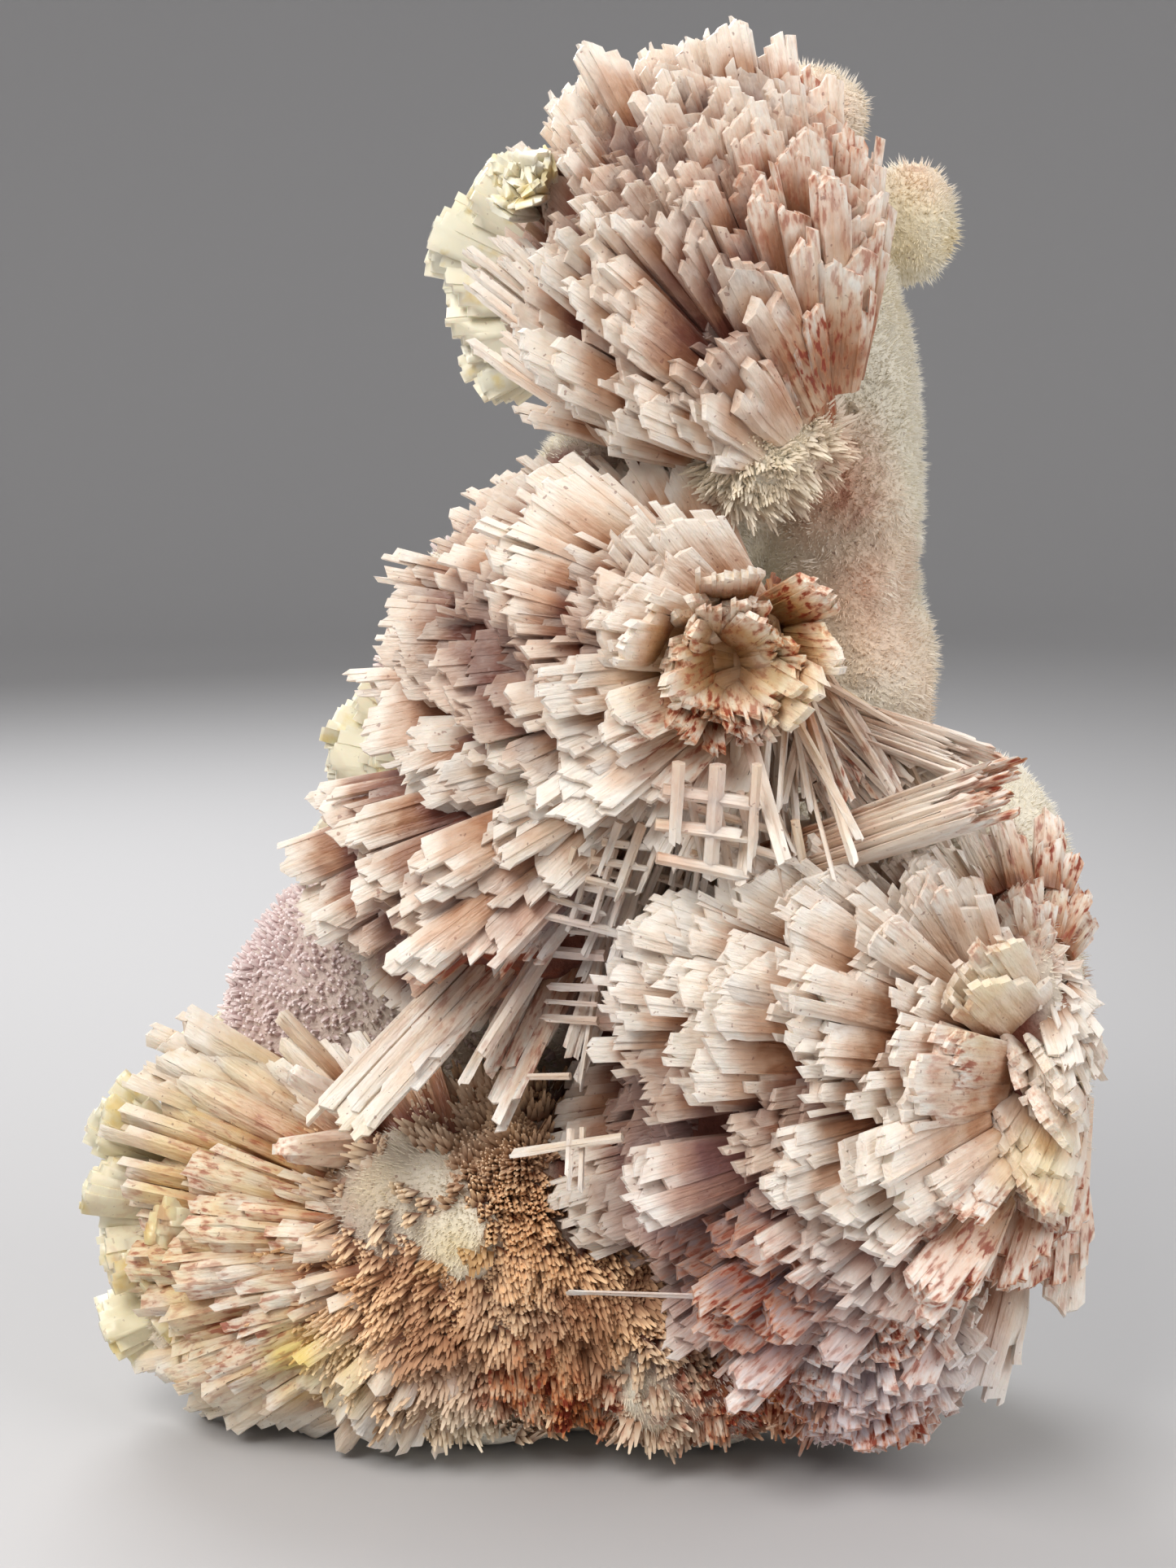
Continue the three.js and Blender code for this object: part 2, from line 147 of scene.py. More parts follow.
# Plates that stand round a dark middle where the middle spray starts, and point at the front.
ROSETTE = dict(at=(13, -34, 85), ring=6.5, count=8, lean=0.4, length=15, size=(5.6, 1.8))
ROSETTE_FILL = [(4.6, 7, 3.5), (8.4, 12, -2.0)]

# The felt below the head shows here in the front view: no spray's plate ends within the radius.
CLEARING = ((19, 102), 11)

# Gaps that the shorter plates leave open, in the front view: the rosette's middle, the frames, the dark gap.
GAPS = [((13, 85), 5.2), ((15, 70.5), 7), ((-3.5, 57), 4.5), ((-3.5, 50), 4.5), ((-3, 43), 4),
        ((30, 9), 15)]

# The small crystals of the heel, in the place of the ball's shorter plates.
HEEL = dict(reach=((28, -12, 17), (14.5, 18, 15.3)), focus=(28, 2, 22), axis=(0.05, -1, -0.35), spread=84,
            face=(-0.1, -1, 0.3), plates=420, width=2.6, length=6, seed=7, forward=0.8, warmth=0.1)

# Plates of the ball that reach up to the open frames: their ends, which point away from one focus.
SHELF_FOCUS = (42, -8, 47)
SHELF_LENGTH = 15
SHELF_SIZE = (6.2, 2.2)
SHELF = [(10.7, -27, 66.5), (17.8, -28, 65.7), (5.1, -27, 62.0), (1.5, -27, 59.7), (0.5, -26, 57.0),
         (0.0, -27, 53.8), (-0.5, -27, 48.3), (5.2, -30, 55.9), (11.0, -31, 58.0), (16.6, -31, 62.2),
         (9.8, -32, 54.0), (21.7, -28, 64.2), (28.7, -26, 66.1), (25.2, -31, 61.8), (33, -26, 67)]

# A slab's finish, in millimetres: how far apart its laths' flats and its bundles lie, its bend and twist, a
# bundle's width, how far bundles lag behind, how pointed the end is and how far the pale colour reaches.
LATH_RISE = 0.1
BUNDLE_RISE = 0.35
BEND = 1.6
TWIST = 1.4
BUNDLE_WIDTH = 2.2
BUNDLE_LAG = 2.2
POINT = 0.45
PALE_END = 1.4
LEAST_HEIGHT = 0.05

# A slab's broken end, as shares: how unevenly the laths divide the width, the gap between them, the least
# length, and the low value and range of where the end's peak lies and of how fast it falls off from there.
CUT_SHAKE = 0.7
LATH_GAP = 0.02
LEAST_LENGTH = 0.3
PEAK_RANGE = (0.15, 0.7)
FALL_RANGE = (0.2, 0.9)

# The name, lath width and finish of the groups of plates that don't take the panel's values.
FINISHES = {
    "rosette": ("rosette_plates", 0.7, dict(tooth=1.6)),
    "heel": ("heel_plates", 1.3, {}),
    "tusk": ("foot_tusks", 0.9, dict(tooth=0.5, crown=2.0, sharp=80)),
    "foot": ("foot_rods", 1.0, dict(tooth=0.9, crown=2.0, sharp=62)),
}
SHARP_DEGREES = 40
FRONT_ROWS = np.array([0, 0.5, 0.8, 0.95, 1])
BACK_ROWS = np.array([0, 0.75, 1])

# Single long crystals: root, tip, the way the flat looks, width and thickness.
BLADES = [
    ((-5, -10, 58), (-26, -21, 37.5), (-0.4, -1, 0.5), (6.5, 2.2)),
    ((-7, -9, 55), (-19.3, -19, 42.7), (-0.4, -1, 0.5), (5.5, 2)),
    ((-2, -9, 54), (-10.6, -19, 38.1), (-0.2, -1, 0.5), (5, 2)),
    ((4, -12, 67), (-8.7, -20, 52.4), (-0.4, -1, 0.4), (4, 2)),
    ((16, -20, 64), (40.8, -29, 74.7), (0, -1, 0.6), (5.5, 3.5)),
    ((17, -15, 81), (39.5, -24, 74), (0, -1, 0.5), (4, 2.5)),
    ((8, -10, 106), (-14.5, -5, 123.5), (-0.3, -1, 0.3), (3.6, 2.4)),
    ((8, -12, 108), (-9.6, -9, 125), (-0.3, -1, 0.3), (3.4, 2.4)),
    ((6, -11, 103), (-12, -7, 116), (-0.3, -1, 0.3), (3.6, 2.4)),
]

# Short cream spikes that stand out of the foot.
TUSKS = [((-24, -9, 32.5), (-31, -19.5, 35.8), (0, -1, 0.3), (2.3, 2.6)),
         ((-22, -10, 36), (-30.5, -14, 42.5), (0, -1, 0.3), (2.0, 2.2))]

# Thin needles that span the dark gaps between the sprays: root, tip and width.
NEEDLES = [
    ((3.0, -15, 63.8), (-6.6, -13, 64.2), 1.0), ((1.4, -17, 59.4), (-5.8, -14, 59.5), 0.9),
    ((1.8, -18, 57.2), (-5.2, -14, 57.1), 0.6), ((1.8, -18, 55.1), (-5.0, -14, 54.7), 1.1),
    ((1.0, -18, 51.9), (-4.6, -15, 51.3), 0.8), ((1.0, -18, 50.2), (-4.8, -15, 49.8), 0.5),
    ((1.0, -18, 48.6), (-4.6, -15, 48.1), 0.8), ((-1.8, -20, 43.6), (-8.7, -16, 42.2), 0.7),
    ((3.3, -27, 39.7), (-8.5, -22, 36.2), 0.9), ((-1.7, -24, 39.5), (-2.0, -27, 34.2), 0.7),
    ((-0.5, -24, 39.7), (-0.7, -27, 33.8), 0.7), ((10.2, -28, 24.2), (-2.5, -27, 24.2), 0.5),
    ((-3.0, -14, 56.0), (-10.5, -20, 45.4), 1.2), ((-3.0, -13, 58.0), (-12.9, -20, 41.7), 1.2),
    ((2.0, -14, 66.5), (-6.0, -13, 67.5), 0.9), ((2.4, -15, 62.0), (-6.2, -14, 61.9), 0.6),
]

# Square frames of laths: corner, the way down, the way across, lath width, pitch, uprights, rungs and reach.
LATTICES = [
    ((8.2, -30, 75.5), (-0.04, 0.15, -1), (1, 0.06, -0.12), 1.15, 3.6, 3, 3, 10.5),
    ((9.4, -27, 73.0), (0.2, 0.1, -1), (1, 0.1, -0.3), 0.8, 2.6, 5, 3, 11),
    ((2.6, -25, 69.0), (-0.35, 0.1, -1), (1, 0.1, -0.12), 0.75, 2.2, 3, 3, 8),
    ((-1.5, -22, 66.0), (-0.3, 0.1, -1), (1, 0.1, -0.2), 0.7, 1.9, 4, 4, 8),
    ((12.0, -20, 74.0), (0.3, 0.2, -1), (1, 0.2, 0.1), 0.9, 2.8, 6, 4, 14),
    ((5.0, -20, 72.0), (-0.4, 0.2, -1), (1, 0.2, -0.3), 0.8, 2.4, 5, 5, 13),
    ((22.0, -20, 72.0), (0.5, 0.1, -1), (1, 0.2, 0.35), 0.8, 3.0, 5, 3, 10),
]

# Rods that fan out: the focus, the first and the last tip on an arc, how many, and their width.
ROD_FANS = [
    ((15, -20, 90), (-2, -21, 68), (22, -24, 64), 34, 0.9),
    ((18, -20, 80), (12, -29, 66), (27, -29, 66), 11, 1.1),
    ((17, -16, 83), (20, -22, 66), (43, -21, 72), 20, 1.1),
    ((12, -14, 80), (-8, -16, 60), (10, -18, 58), 26, 0.9),
    ((16, -12, 70), (2, -18, 48), (20, -22, 64), 22, 0.8),
    ((8, -6, 72), (-12, -17, 42), (2, -16, 44), 18, 0.9),
]

# Ragged sheets right of the rosette, fanned out as the rods are.
SPOKES = ((18, -14, 84), (24, -25, 69), (41, -19, 71), 24, 3.4)

# Stilbite sheaves: focus, length, width and thickness, the way the flats look, and tips.
STILBITES = {
    "stilbite_head": dict(focus=(4, 4, 118), length=11, size=(7.5, 4.6), face=(-0.5, -1, 0.3), tips=[
        (-16.6, 5, 126), (-15.8, 6, 120), (-12, 4, 132), (-15, 6, 114), (-12.6, 7, 109.5)]),
    "stilbite_flank": dict(focus=(-12, 10, 68), length=9, size=(6.5, 4.4), face=(-0.3, -1, 0.4), tips=[
        (-28.8, 13, 74.3), (-25.5, 12, 78), (-29.2, 11, 70.6), (-25, 8, 72)]),
    "stilbite_slope": dict(focus=(-18, 14, 54), length=8, size=(5.5, 3.8), face=(-0.3, -1, 0.4), tips=[
        (-33.6, 14, 59.1), (-31.5, 12, 55.6), (-30.8, 13, 62.5)]),
    "stilbite_foot": dict(focus=(-30, 3, 20), length=10, size=(8.5, 5.4), face=(-0.5, -1, 0.3), tips=[
        (-53.6, 0, 34), (-54.4, -2, 26.4), (-53.4, -3, 18.5), (-52.6, -4, 9), (-46, -10, 24),
        (-46.5, -9, 13)]),
    "stilbite_hump": dict(focus=(-36, 14, 28), length=8, size=(5.5, 3.8), face=(-0.2, -1, 0.3), tips=[
        (-45.8, 10, 39.6), (-42.6, 11, 41), (-39.6, 9, 39)]),
}
# Small stilbite crystals that sit on the head's plates.
BEADS = dict(focus=(-2, 0, 126), length=7, size=(3.4, 2.8), face=(-0.3, -1, 0.4), tips=[
    (-6.4, -14, 129.3), (-8.6, -13, 127), (-5, -13, 131.4), (-8.4, -12, 130.6)])
BEADS_ORDER = 9
SHEAF_TABLETS = 5
SHEAF_FAN = 7

# The ground: how much thinner it is than the lumps with their fur, how big the sprays' hearts are, the size
# of its skin's cells in metres and how often it is smoothed.
FUR_DEPTH = 1.8
HEART_SHARE = 0.62
SKIN_CELL = 0.0012
SKIN_SMOOTHINGS = 8

# Rust-red stains and yellow tints: middle, how far they spread and how strong they are.
STAINS = [
    ((-36, -14, 30), 12, 0.55), ((-43, -8, 22), 9, 0.55), ((-36, -14, 15), 10, 0.5),
    ((13, -31, 85), 6, 0.8), ((18, -30, 88), 4, 0.9), ((20.6, -26, 93), 7, 0.9), ((22.4, -20, 112.6), 5, 1.0),
    ((41.9, -20, 68.8), 7, 0.9), ((41, -28, 74.2), 7, 0.8), ((49.6, -12, 49), 7, 0.6),
    ((33.9, -32, 63.6), 6, 0.7), ((37.8, -34, 47.3), 7, 0.7), ((36.8, -34, 29.2), 8, 0.9),
    ((43, -26, 23.6), 7, 1.0), ((29.8, -22, 6), 8, 0.8), ((-5.6, -20, 10.6), 5, 3.2),
    ((-1.6, -18, 7.6), 5, 3.4),
    ((15.5, -20, 8.3), 8, 1.8), ((-9.7, -18, 51.4), 7, 0.8), ((24.9, -24, 75.8), 6, 0.8),
    ((10.3, -28, 78.8), 6, 0.8), ((35, 8, 134), 5, 0.4), ((20.7, 0, 138.7), 6, 0.5),
    ((30.8, -30, 19.5), 6, 0.7), ((-6, -16, 47), 6, 0.7), ((24, -8, 100), 6, 0.45),
    ((20, -24, 128), 9, 0.4), ((26, -14, 134), 7, 0.5), ((27, -16, 119), 8, 0.5), ((10, -26, 136), 8, 0.3),
    ((24, -18, 110), 5, 1.0), ((20, -28, 12), 7, 0.7), ((14, -30, 24), 9, 0.7), ((47, -16, 62), 8, 0.8),
    ((46, -20, 30), 7, 0.8),
]
YELLOWS = [
    ((-28.9, -18, 11.7), 6, 1.6), ((-23.5, -19, 34.3), 6, 0.5), ((-13.7, -22, 27), 5, 0.6),
    ((39.4, -32, 54.4), 6, 0.9), ((43.4, -30, 36.5), 6, 0.6), ((40.0, 9, 124), 3.5, 1.2),
    ((33, 6, 125), 9, 0.4),
    ((-45, -10, 26.9), 8, 0.8), ((-44.7, -10, 20), 9, 0.7), ((42.6, -32, 49.8), 5, 0.7),
    ((14, -30, 83), 10, 0.55), ((20, -26, 88), 6, 0.7), ((24, -12, 84), 8, 0.5),
    ((-40, -8, 30), 14, 0.6), ((-40, -8, 14), 14, 0.5),
]

# Where the crystals are lilac.
LILACS = [((20, -30, 18), 16, 0.7), ((26, -24, 8), 15, 1.0), ((8, -26, 32), 9, 0.4), ((-2, -20, 55), 8, 0.4),
          ((12, -30, 78), 7, 0.5)]

# Painted shade: where the sprays are painted darker in their depths, as shade falls there.
PAINTED_SHADES = [((10, -28, 24), 14, 0.9), ((2, -24, 46), 10, 1.0), ((-12, -16, 50), 14, 0.9),
          ((24, -10, 112), 9, 0.8), ((-6, -20, 84), 9, 0.6), ((12, -24, 112), 10, 0.7),
          ((8, -26, 122), 12, 0.5)]

# Where the felt has a peach blush.
BLUSHES = [
    ((23.8, -8, 100), 8, 1.3), ((29.1, -6, 88.5), 9, 1.0), ((36, 8, 135), 6.5, 0.9), ((24, 4, 138), 9, 0.7),
    ((36, 0, 79), 8, 0.5), ((33, -4, 85), 7, 0.6),
]

# Where the velvet grows, and the middle that its needles lean away from.
VELVET = [((-9.8, -22, 27), 15, 1.0), ((-1.8, -22, 34.4), 12, 1.0), ((-22, -20, 20), 12, 0.8),
          ((2.3, -20, 15), 14, 0.9), ((-14, -22, 12), 10, 0.7), ((14, -20, 12), 8, 0.7),
          ((-20, -15, 34), 10, 0.9), ((-7, -12, 40), 11, 1.0)]
VELVET_MIDDLE = (-5, -6, 30)

# Where cream felt stands out of the velvet, and where there are tufts: the collar and beside the rosette.
PATCHES = [((-13, -20, 26.7), 4.8, 1.6), ((-21, -18, 33.5), 8.5, 1.7), ((-28.5, -16, 36.5), 5.0, 1.5),
           ((6, -20, 10), 6, 1.2), ((14, -20, 9), 5, 1.0)]
TUFTS = [((21, -13, 84), 7, 0.8), ((15, -16, 104), 8, 1.2), ((22, -12, 108), 7, 1.0)]

# Where the needles' tips are pale.
PALES = [((-16, -12, 42), 13, 0.9), ((-2, -14, 42), 9, 0.8), ((-12, -18, 3), 10, 1.1),
         ((8, -20, 8), 8, 1.1), ((-7, -22, 20), 5, 0.6), ((-28, -16, 12), 8, 0.9),
         ((17, -14, 103), 12, 1.0), ((22, -12, 84), 10, 1.0), ((-22, -18, 34), 9, 1.0)]

# The ground is bare, and painted dark as shade, inside a spray, and in these places too.
BARE_GROUND = [((-36, -12, 24), 19, 0.8), ((-26, -16, 12), 9, 0.6), ((-32, -6, 42), 8, 0.6)]

# Here the ground is pale and felted, without the painted shade, though it is inside a spray.
FELTED_GROUND = [((20, -14, 84), 10, 1.3), ((17, -15, 103), 18, 1.3), ((24, -8, 96), 12, 1.0)]

# The felt is two pieces, one above this height and one below.
FELT_SPLIT = 88

# Where the druse grows.
DRUSE = [((26, -24, 11), 13, 1.0), ((-34.7, 12, 45), 22, 0.9), ((-28, 22, 40), 24, 0.8),
         ((-14, 22, 78), 16, 0.7), ((20, 22, 40), 26, 0.6)]

# The fibres: the value that says where they grow, the size that gives their length and how many times it,
# width in metres, number to a square metre, sides, blunt tip, least height, single or in tufts, and seed.
FIBRES = {
    "neck_felt": ("felt_top", "felt", 1, 0.00018, 9e6, 3, 0.0, 0.55, "single", 1),
    "low_felt": ("felt_low", "felt", 1, 0.00018, 8e6, 3, 0.0, 0.55, "single", 4),
    "collar_tufts": ("tuft", "felt", 2.2, 0.0007, 2.2e6, 3, 0.1, 0.2, "tufts", 5),
    "brown_velvet": ("velvet", "velvet", 1, 0.0010, 3.4e6, 3, 0.14, 0.15, "tufts", 2),
    "mauve_druse": ("druse", "druse", 1, 0.00065, 2.3e6, 4, 0.25, 0.4, "single", 3),
}

# The needles of a tuft: how high each is, how it leans and where it stands, in widths.
TUFT = [(1.0, (0.0, 0.0), (0.0, 0.0)), (0.8, (0.25, 0.1), (0.45, 0.1)), (0.65, (-0.2, 0.2), (-0.3, 0.4)),
        (0.7, (0.05, -0.3), (-0.1, -0.45))]

# The lamps: place and size in metres, power in watts and colour, and the place that they all face.
LAMPS = {
    "key": ((-0.20, -0.28, 0.40), 0.26, 2.0, (1.0, 0.97, 0.93)),
    "fill": ((0.36, -0.22, 0.32), 0.30, 1.1, (1.0, 0.98, 0.97)),
    "back": ((-0.15, 0.35, 0.35), 0.30, 1.6, (1.0, 1.0, 1.0)),
}
LAMP_TARGET = (0, 0, 0.07)
SKY_STRENGTH = 0.46

# The floor, in metres: radius of its flat, radius of its rim's bend, and height of the rim.
FLOOR = (0.75, 0.35, 1.0)
FLOOR_SIDES = 64
FLOOR_COLOUR = (0.50, 0.50, 0.51)
SKY_COLOUR = (1.0, 0.98, 0.97)


def metres(places):
    """Places in millimetres as places in the frame, in metres."""
    return (np.asarray(places, float) - MIDDLE) * MM


def chance(i, kind):
    """A repeatable number from 0 to 1 for the i-th thing of a kind."""
    wave = np.sin(i * 12.9898 + kind * 78.233) * 43758.5453
    return wave - np.floor(wave)


def vary(share, i, kind):
    """A repeatable factor from 1 - share to 1 + share for the i-th thing of a kind."""
    return 1 + share * (2 * chance(i, kind) - 1)


def within(limits, i, kind):
    """A repeatable number for the i-th thing of a kind, from a low value on and within a range."""
    low, span = limits
    return low + span * chance(i, kind)


def unit(vectors):
    """Vectors at length 1."""
    vectors = np.asarray(vectors, float)
    return vectors / np.linalg.norm(vectors, axis=-1, keepdims=True)


def glow(places, spots):
    """How strongly spots of (middle, reach, strength) touch each of some places, from 0 to 1."""
    places = np.asarray(places, float)
    total = np.zeros(len(places))
    for middle, reach, strength in spots:
        away = np.linalg.norm(places - np.array(middle, float), axis=1) / reach
        total = np.maximum(total, strength * np.clip(1.3 - away, 0, 1))
    return total


def end_of(spray, i, count, depths):
    """The i-th of count places on a spray's reach: a golden-angle spiral, shaken a little."""
    axis = unit(spray["axis"])
    side = unit(np.cross((0.1, 0.2, 1), axis))
    up = np.cross(axis, side)
    share = (i + 0.5) / count
    tilt = math.acos(1 - share * (1 - math.cos(math.radians(spray["spread"]))))
    turn = i * GOLDEN_ANGLE + 0.3 * (chance(i, spray["seed"]) - 0.5)
    radial = axis * math.cos(tilt) + (side * math.cos(turn) + up * math.sin(turn)) * math.sin(tilt)
    depth = depths[0] + (depths[1] - depths[0]) * chance(i, spray["seed"] + 3)
    middle, radii = (np.array(each, float) for each in spray["reach"])
    return middle + radial * radii * depth


def plate_at(end, way, face, **sizes):
    """A plate that ends at a place, points along way and looks along face."""
    across = unit(np.cross(way, face))
    normal = np.cross(across, way)
    markers = end - np.outer(MARKER_SHARES * sizes["length"], way)
    return dict(sizes, end=end, way=way, across=across, normal=normal, markers=markers)


def plate_of(spray, i, count, depths, size=1.0, seed_shift=0):
    """The i-th plate of a spray: where it ends, how big it is and which way it faces."""
    seed = spray["seed"] + seed_shift
    end = end_of(dict(spray, seed=seed), i, count, depths)
    away = (end - np.array(spray["focus"], float)) * (1, spray["forward"], 1)
    distance = np.linalg.norm(away)
    length = min(spray.get("length", PLATE_LENGTH) * vary(0.15, i, seed + 4), 0.95 * distance)
    width = spray["width"] * size * vary(0.25, i, seed + 5)
    thick = PLATE_THICKNESS * width * vary(0.2, i, seed + 7)
    face = unit(spray["face"])
    face[0] += FACE_SHAKE * (chance(i, seed + 8) - 0.5)
    face[2] += FACE_SHAKE * (chance(i, seed + 9) - 0.5)
    return plate_at(end, away / distance, face, seed=seed, i=i, length=length, width=width,
                    root_share=ROOT_SHARE, thick=thick, warmth=spray["warmth"],
                    reach=spray["reach"], point=spray.get("point", POINT))


def blade_of(row, i):
    """A single long crystal from its root to its tip."""
    root, tip, face, (width, thick) = row
    away = np.array(tip, float) - np.array(root, float)
    length = np.linalg.norm(away)
    return plate_at(np.array(tip, float), away / length, np.array(face, float), seed=20, i=i,
                    length=length, width=width, root_share=0.8, thick=thick, warmth=0.3, reach=None)


def crowded(plate, taken, clearance):
    """Whether a plate's axis comes too near the axes of the plates already there."""
    if not taken:
        return False
    others = np.array([other["markers"] for other in taken])
    gaps = np.linalg.norm(plate["markers"][None, :, None, :] - others[:, None, :, :], axis=-1)
    least = clearance * (2 - MARKER_SHARES[:, None] - MARKER_SHARES[None, :])
    return bool((gaps < least[None]).any())


def front_of(names, x, z):
    """How far forward some lumps' front lies at a place of the front view, and whether it is on them."""
    fronts, rooms = [], []
    for middle, radii in (LUMPS[name] for name in names):
        room = 1 - ((x - middle[0]) / radii[0]) ** 2 - ((z - middle[2]) / radii[2]) ** 2
        fronts.append(middle[1] - radii[1] * math.sqrt(max(room, 0)))
        rooms.append(room)
    return min(fronts), max(rooms) > 0.02


def fan_rows(fan, rows, first_row=0):
    """Rods of some rows of a fan, as rows for blade_of. Only leading ones may reach past the lumps."""
    made = []
    for row, (end, length, count, width, proud, first, last) in enumerate(rows, first_row):
        leading = fan is FOOT_FAN and row < LEADING_ROWS
        for k in range(count):
            i = 30 * row + k + fan["shift"]
            loose = 0.6 if leading else 1.4
            angle = math.radians(first + (last - first) * (k + 0.5 + loose * (chance(i, 41) - 0.5)) / count)
            places = []
            for far in (end - length, end * vary(0.06 if leading else 0.16, i, 42)):
                x = fan["centre"][0] + far * math.cos(angle)
                z = max(fan["centre"][1] + far * math.sin(angle), 1)
                front, inside = front_of(fan["on" if leading else "under"], x, z)
                places.append([x, front, z])
            places[0][1] += 3 if leading else 3.5
            places[1][1] -= proud * 2 * chance(i, 43)
            size = (width * vary(0.25 if leading else 0.4, i, 44), 0.75 * width * vary(0.2, i, 45))
            tip_x, _, tip_z = places[1]
            outer = fan is FOOT_FAN and row < LEADING_ROWS + 2
            between = outer and tip_x < FOOT_CORNER[0] and tip_z > FOOT_CORNER[1]
            low = fan is not FOOT_FAN or tip_z < FOOT_TOP
            if leading or low and (inside or between):
                made.append((*places, fan["face"], size))
    return made


def rosette_rows(ring, count, back, size, shift=0):
    """The plates of one ring of the rosette, as rows for blade_of."""
    made = []
    for k in range(count):
        angle = 2 * math.pi * (k + 0.5 * chance(k + shift, 46)) / count
        x, z = math.cos(angle), math.sin(angle)
        at_x, at_y, at_z = ROSETTE["at"]
        near = at_y + back + (6.5 if shift else 4) * chance(k + shift, 47)
        far = ring * vary(0.35, k + shift, 51) if shift else ring
        tip = (at_x + far * x, near, at_z + far * z)
        spread = ROSETTE["lean"] * ROSETTE["length"]
        root = (tip[0] - spread * x, near + ROSETTE["length"], tip[2] - spread * z)
        made.append((root, tip, (x, 0.3, z), size))
    return made


def clear_of(plate):
    """Whether a short plate leaves the felt below the head, the rosette's middle and the gaps in view."""
    if plate["end"][1] >= 0:
        return True
    return all(math.dist(plate["end"][::2], middle) >= radius for middle, radius in [CLEARING, *GAPS])


def shelf_rows():
    """The ball's plates that reach up to the open frames, as rows for blade_of."""
    made = []
    for k, tip in enumerate(SHELF):
        way = unit(np.subtract(tip, SHELF_FOCUS) * (1, 0.5, 1))
        root = np.array(tip) - way * SHELF_LENGTH * vary(0.15, k, 48)
        face = (-0.1 + 0.4 * (chance(k, 49) - 0.5), -1, 0.3)
        made.append((root, tip, face, (SHELF_SIZE[0] * vary(0.25, k, 50), SHELF_SIZE[1])))
    return made


def numbered(rows, first, **finish):
    """Rows as plates, numbered from first, with their finish: layers, bundles and what else they have."""
    return [dict(blade_of(row, first + k), **finish) for k, row in enumerate(rows)]


def foot_fill():
    """The foot's shorter rods. The thinner ones get more painted shade and are less white at the tip."""
    rods = numbered(fan_rows(FOOT_FAN, FOOT_FAN["rows"][LEADING_ROWS:], LEADING_ROWS), 100,
                    layers=1, split=1, warmth=1.0, pale_end=3)
    return [dict(rod, sunk=0.6 - 0.1 * rod["width"], white=0.35 if rod["width"] < THIN_ROD else 1)
            for rod in rods]


def placed_plates():
    """The leading plates that aren't in a spray, and the groups of all those that are placed in rows."""
    rosette = rosette_rows(ROSETTE["ring"], ROSETTE["count"], 0, ROSETTE["size"])
    foot = fan_rows(FOOT_FAN, FOOT_FAN["rows"][:LEADING_ROWS])
    leading = [blade_of(row, i) for i, row in enumerate(BLADES + rosette + foot)]
    fine = [row for k, (ring, count, back) in enumerate(ROSETTE_FILL)
            for row in rosette_rows(ring, count, back, (3.4 + 0.3 * ring, 1.2), 20 + 20 * k)]
    return leading, {
        "long": [dict(plate, layers=3, split=8) if plate["end"][0] > 0 else dict(plate, layers=2, split=3)
                 for plate in leading[:len(BLADES)]],
        # Each group's offset moves where its plates' painted shade begins: the rosette's are painted dark
        # towards their roots, for its dark middle.
        "rosette": [dict(plate, layers=2, split=1, warmth=0.8, sunk=0.45)
                    for plate in leading[len(BLADES):-len(foot)]]
        + numbered(fine, 60, layers=1, split=1, warmth=0.8, sunk=0.65),
        "foot": [dict(plate, layers=2, split=2, warmth=1.2, pale_end=3, white=0.6, sunk=0.3)
                 for plate in leading[-len(foot):]] + foot_fill(),
        "tusk": numbered(TUSKS, 95, layers=1, split=1, sunk=-0.6, point=0.9, root_share=1.9),
        "shelf": numbered(shelf_rows(), 700, layers=3, split=1, root_share=ROOT_SHARE,
                          reach=SPRAYS["ball"]["reach"]),
        "spoke": numbered(fan_rods(SPOKES, 9), 800, layers=2, split=2, warmth=0.9, root_share=ROOT_SHARE),
        "side": numbered(fan_rows(SIDE_FAN, SIDE_FAN["rows"]), 300, layers=2, split=1, warmth=0.8),
    }


def all_plates():
    """The placed plates, each spray's leading plates and the shorter ones that fill in between them."""
    leading, groups = placed_plates()
    taken = list(leading)
    for name, spray in SPRAYS.items():
        groups[name] = []
        for i in range(spray["plates"]):
            plate = plate_of(spray, i, spray["plates"], END_DEPTH)
            over_felt = plate["end"][1] < 0 and math.dist(plate["end"][::2], CLEARING[0]) < CLEARING[1]
            if not over_felt and not crowded(plate, taken, CLEARANCE):
                taken.append(plate)
                whole = chance(i, spray["seed"] + 36) < spray["whole"]
                groups[name].append(dict(plate, layers=3 if whole else 2, split=1 if whole else 2))
    taken += groups["shelf"]
    for name, spray in SPRAYS.items():
        count = int(spray["plates"] * FILL_SHARE)
        for i in range(count):
            plate = plate_of(spray, i, count, FILL_DEPTH, size=FILL_SIZE, seed_shift=40)
            buried = name == "rear" and plate["end"][2] < REAR_FOOT
            if clear_of(plate) and not buried and not crowded(plate, taken, FILL_CLEARANCE):
                taken.append(plate)
                groups[name].append(dict(plate, layers=2, split=1))
    heel = [plate_of(HEEL, i, HEEL["plates"], (0.9, 1.0)) for i in range(HEEL["plates"])]
    groups["heel"] = [dict(plate, layers=1, split=1, sunk=-0.55) for plate in heel if plate["end"][2] > 1.5]
    return groups


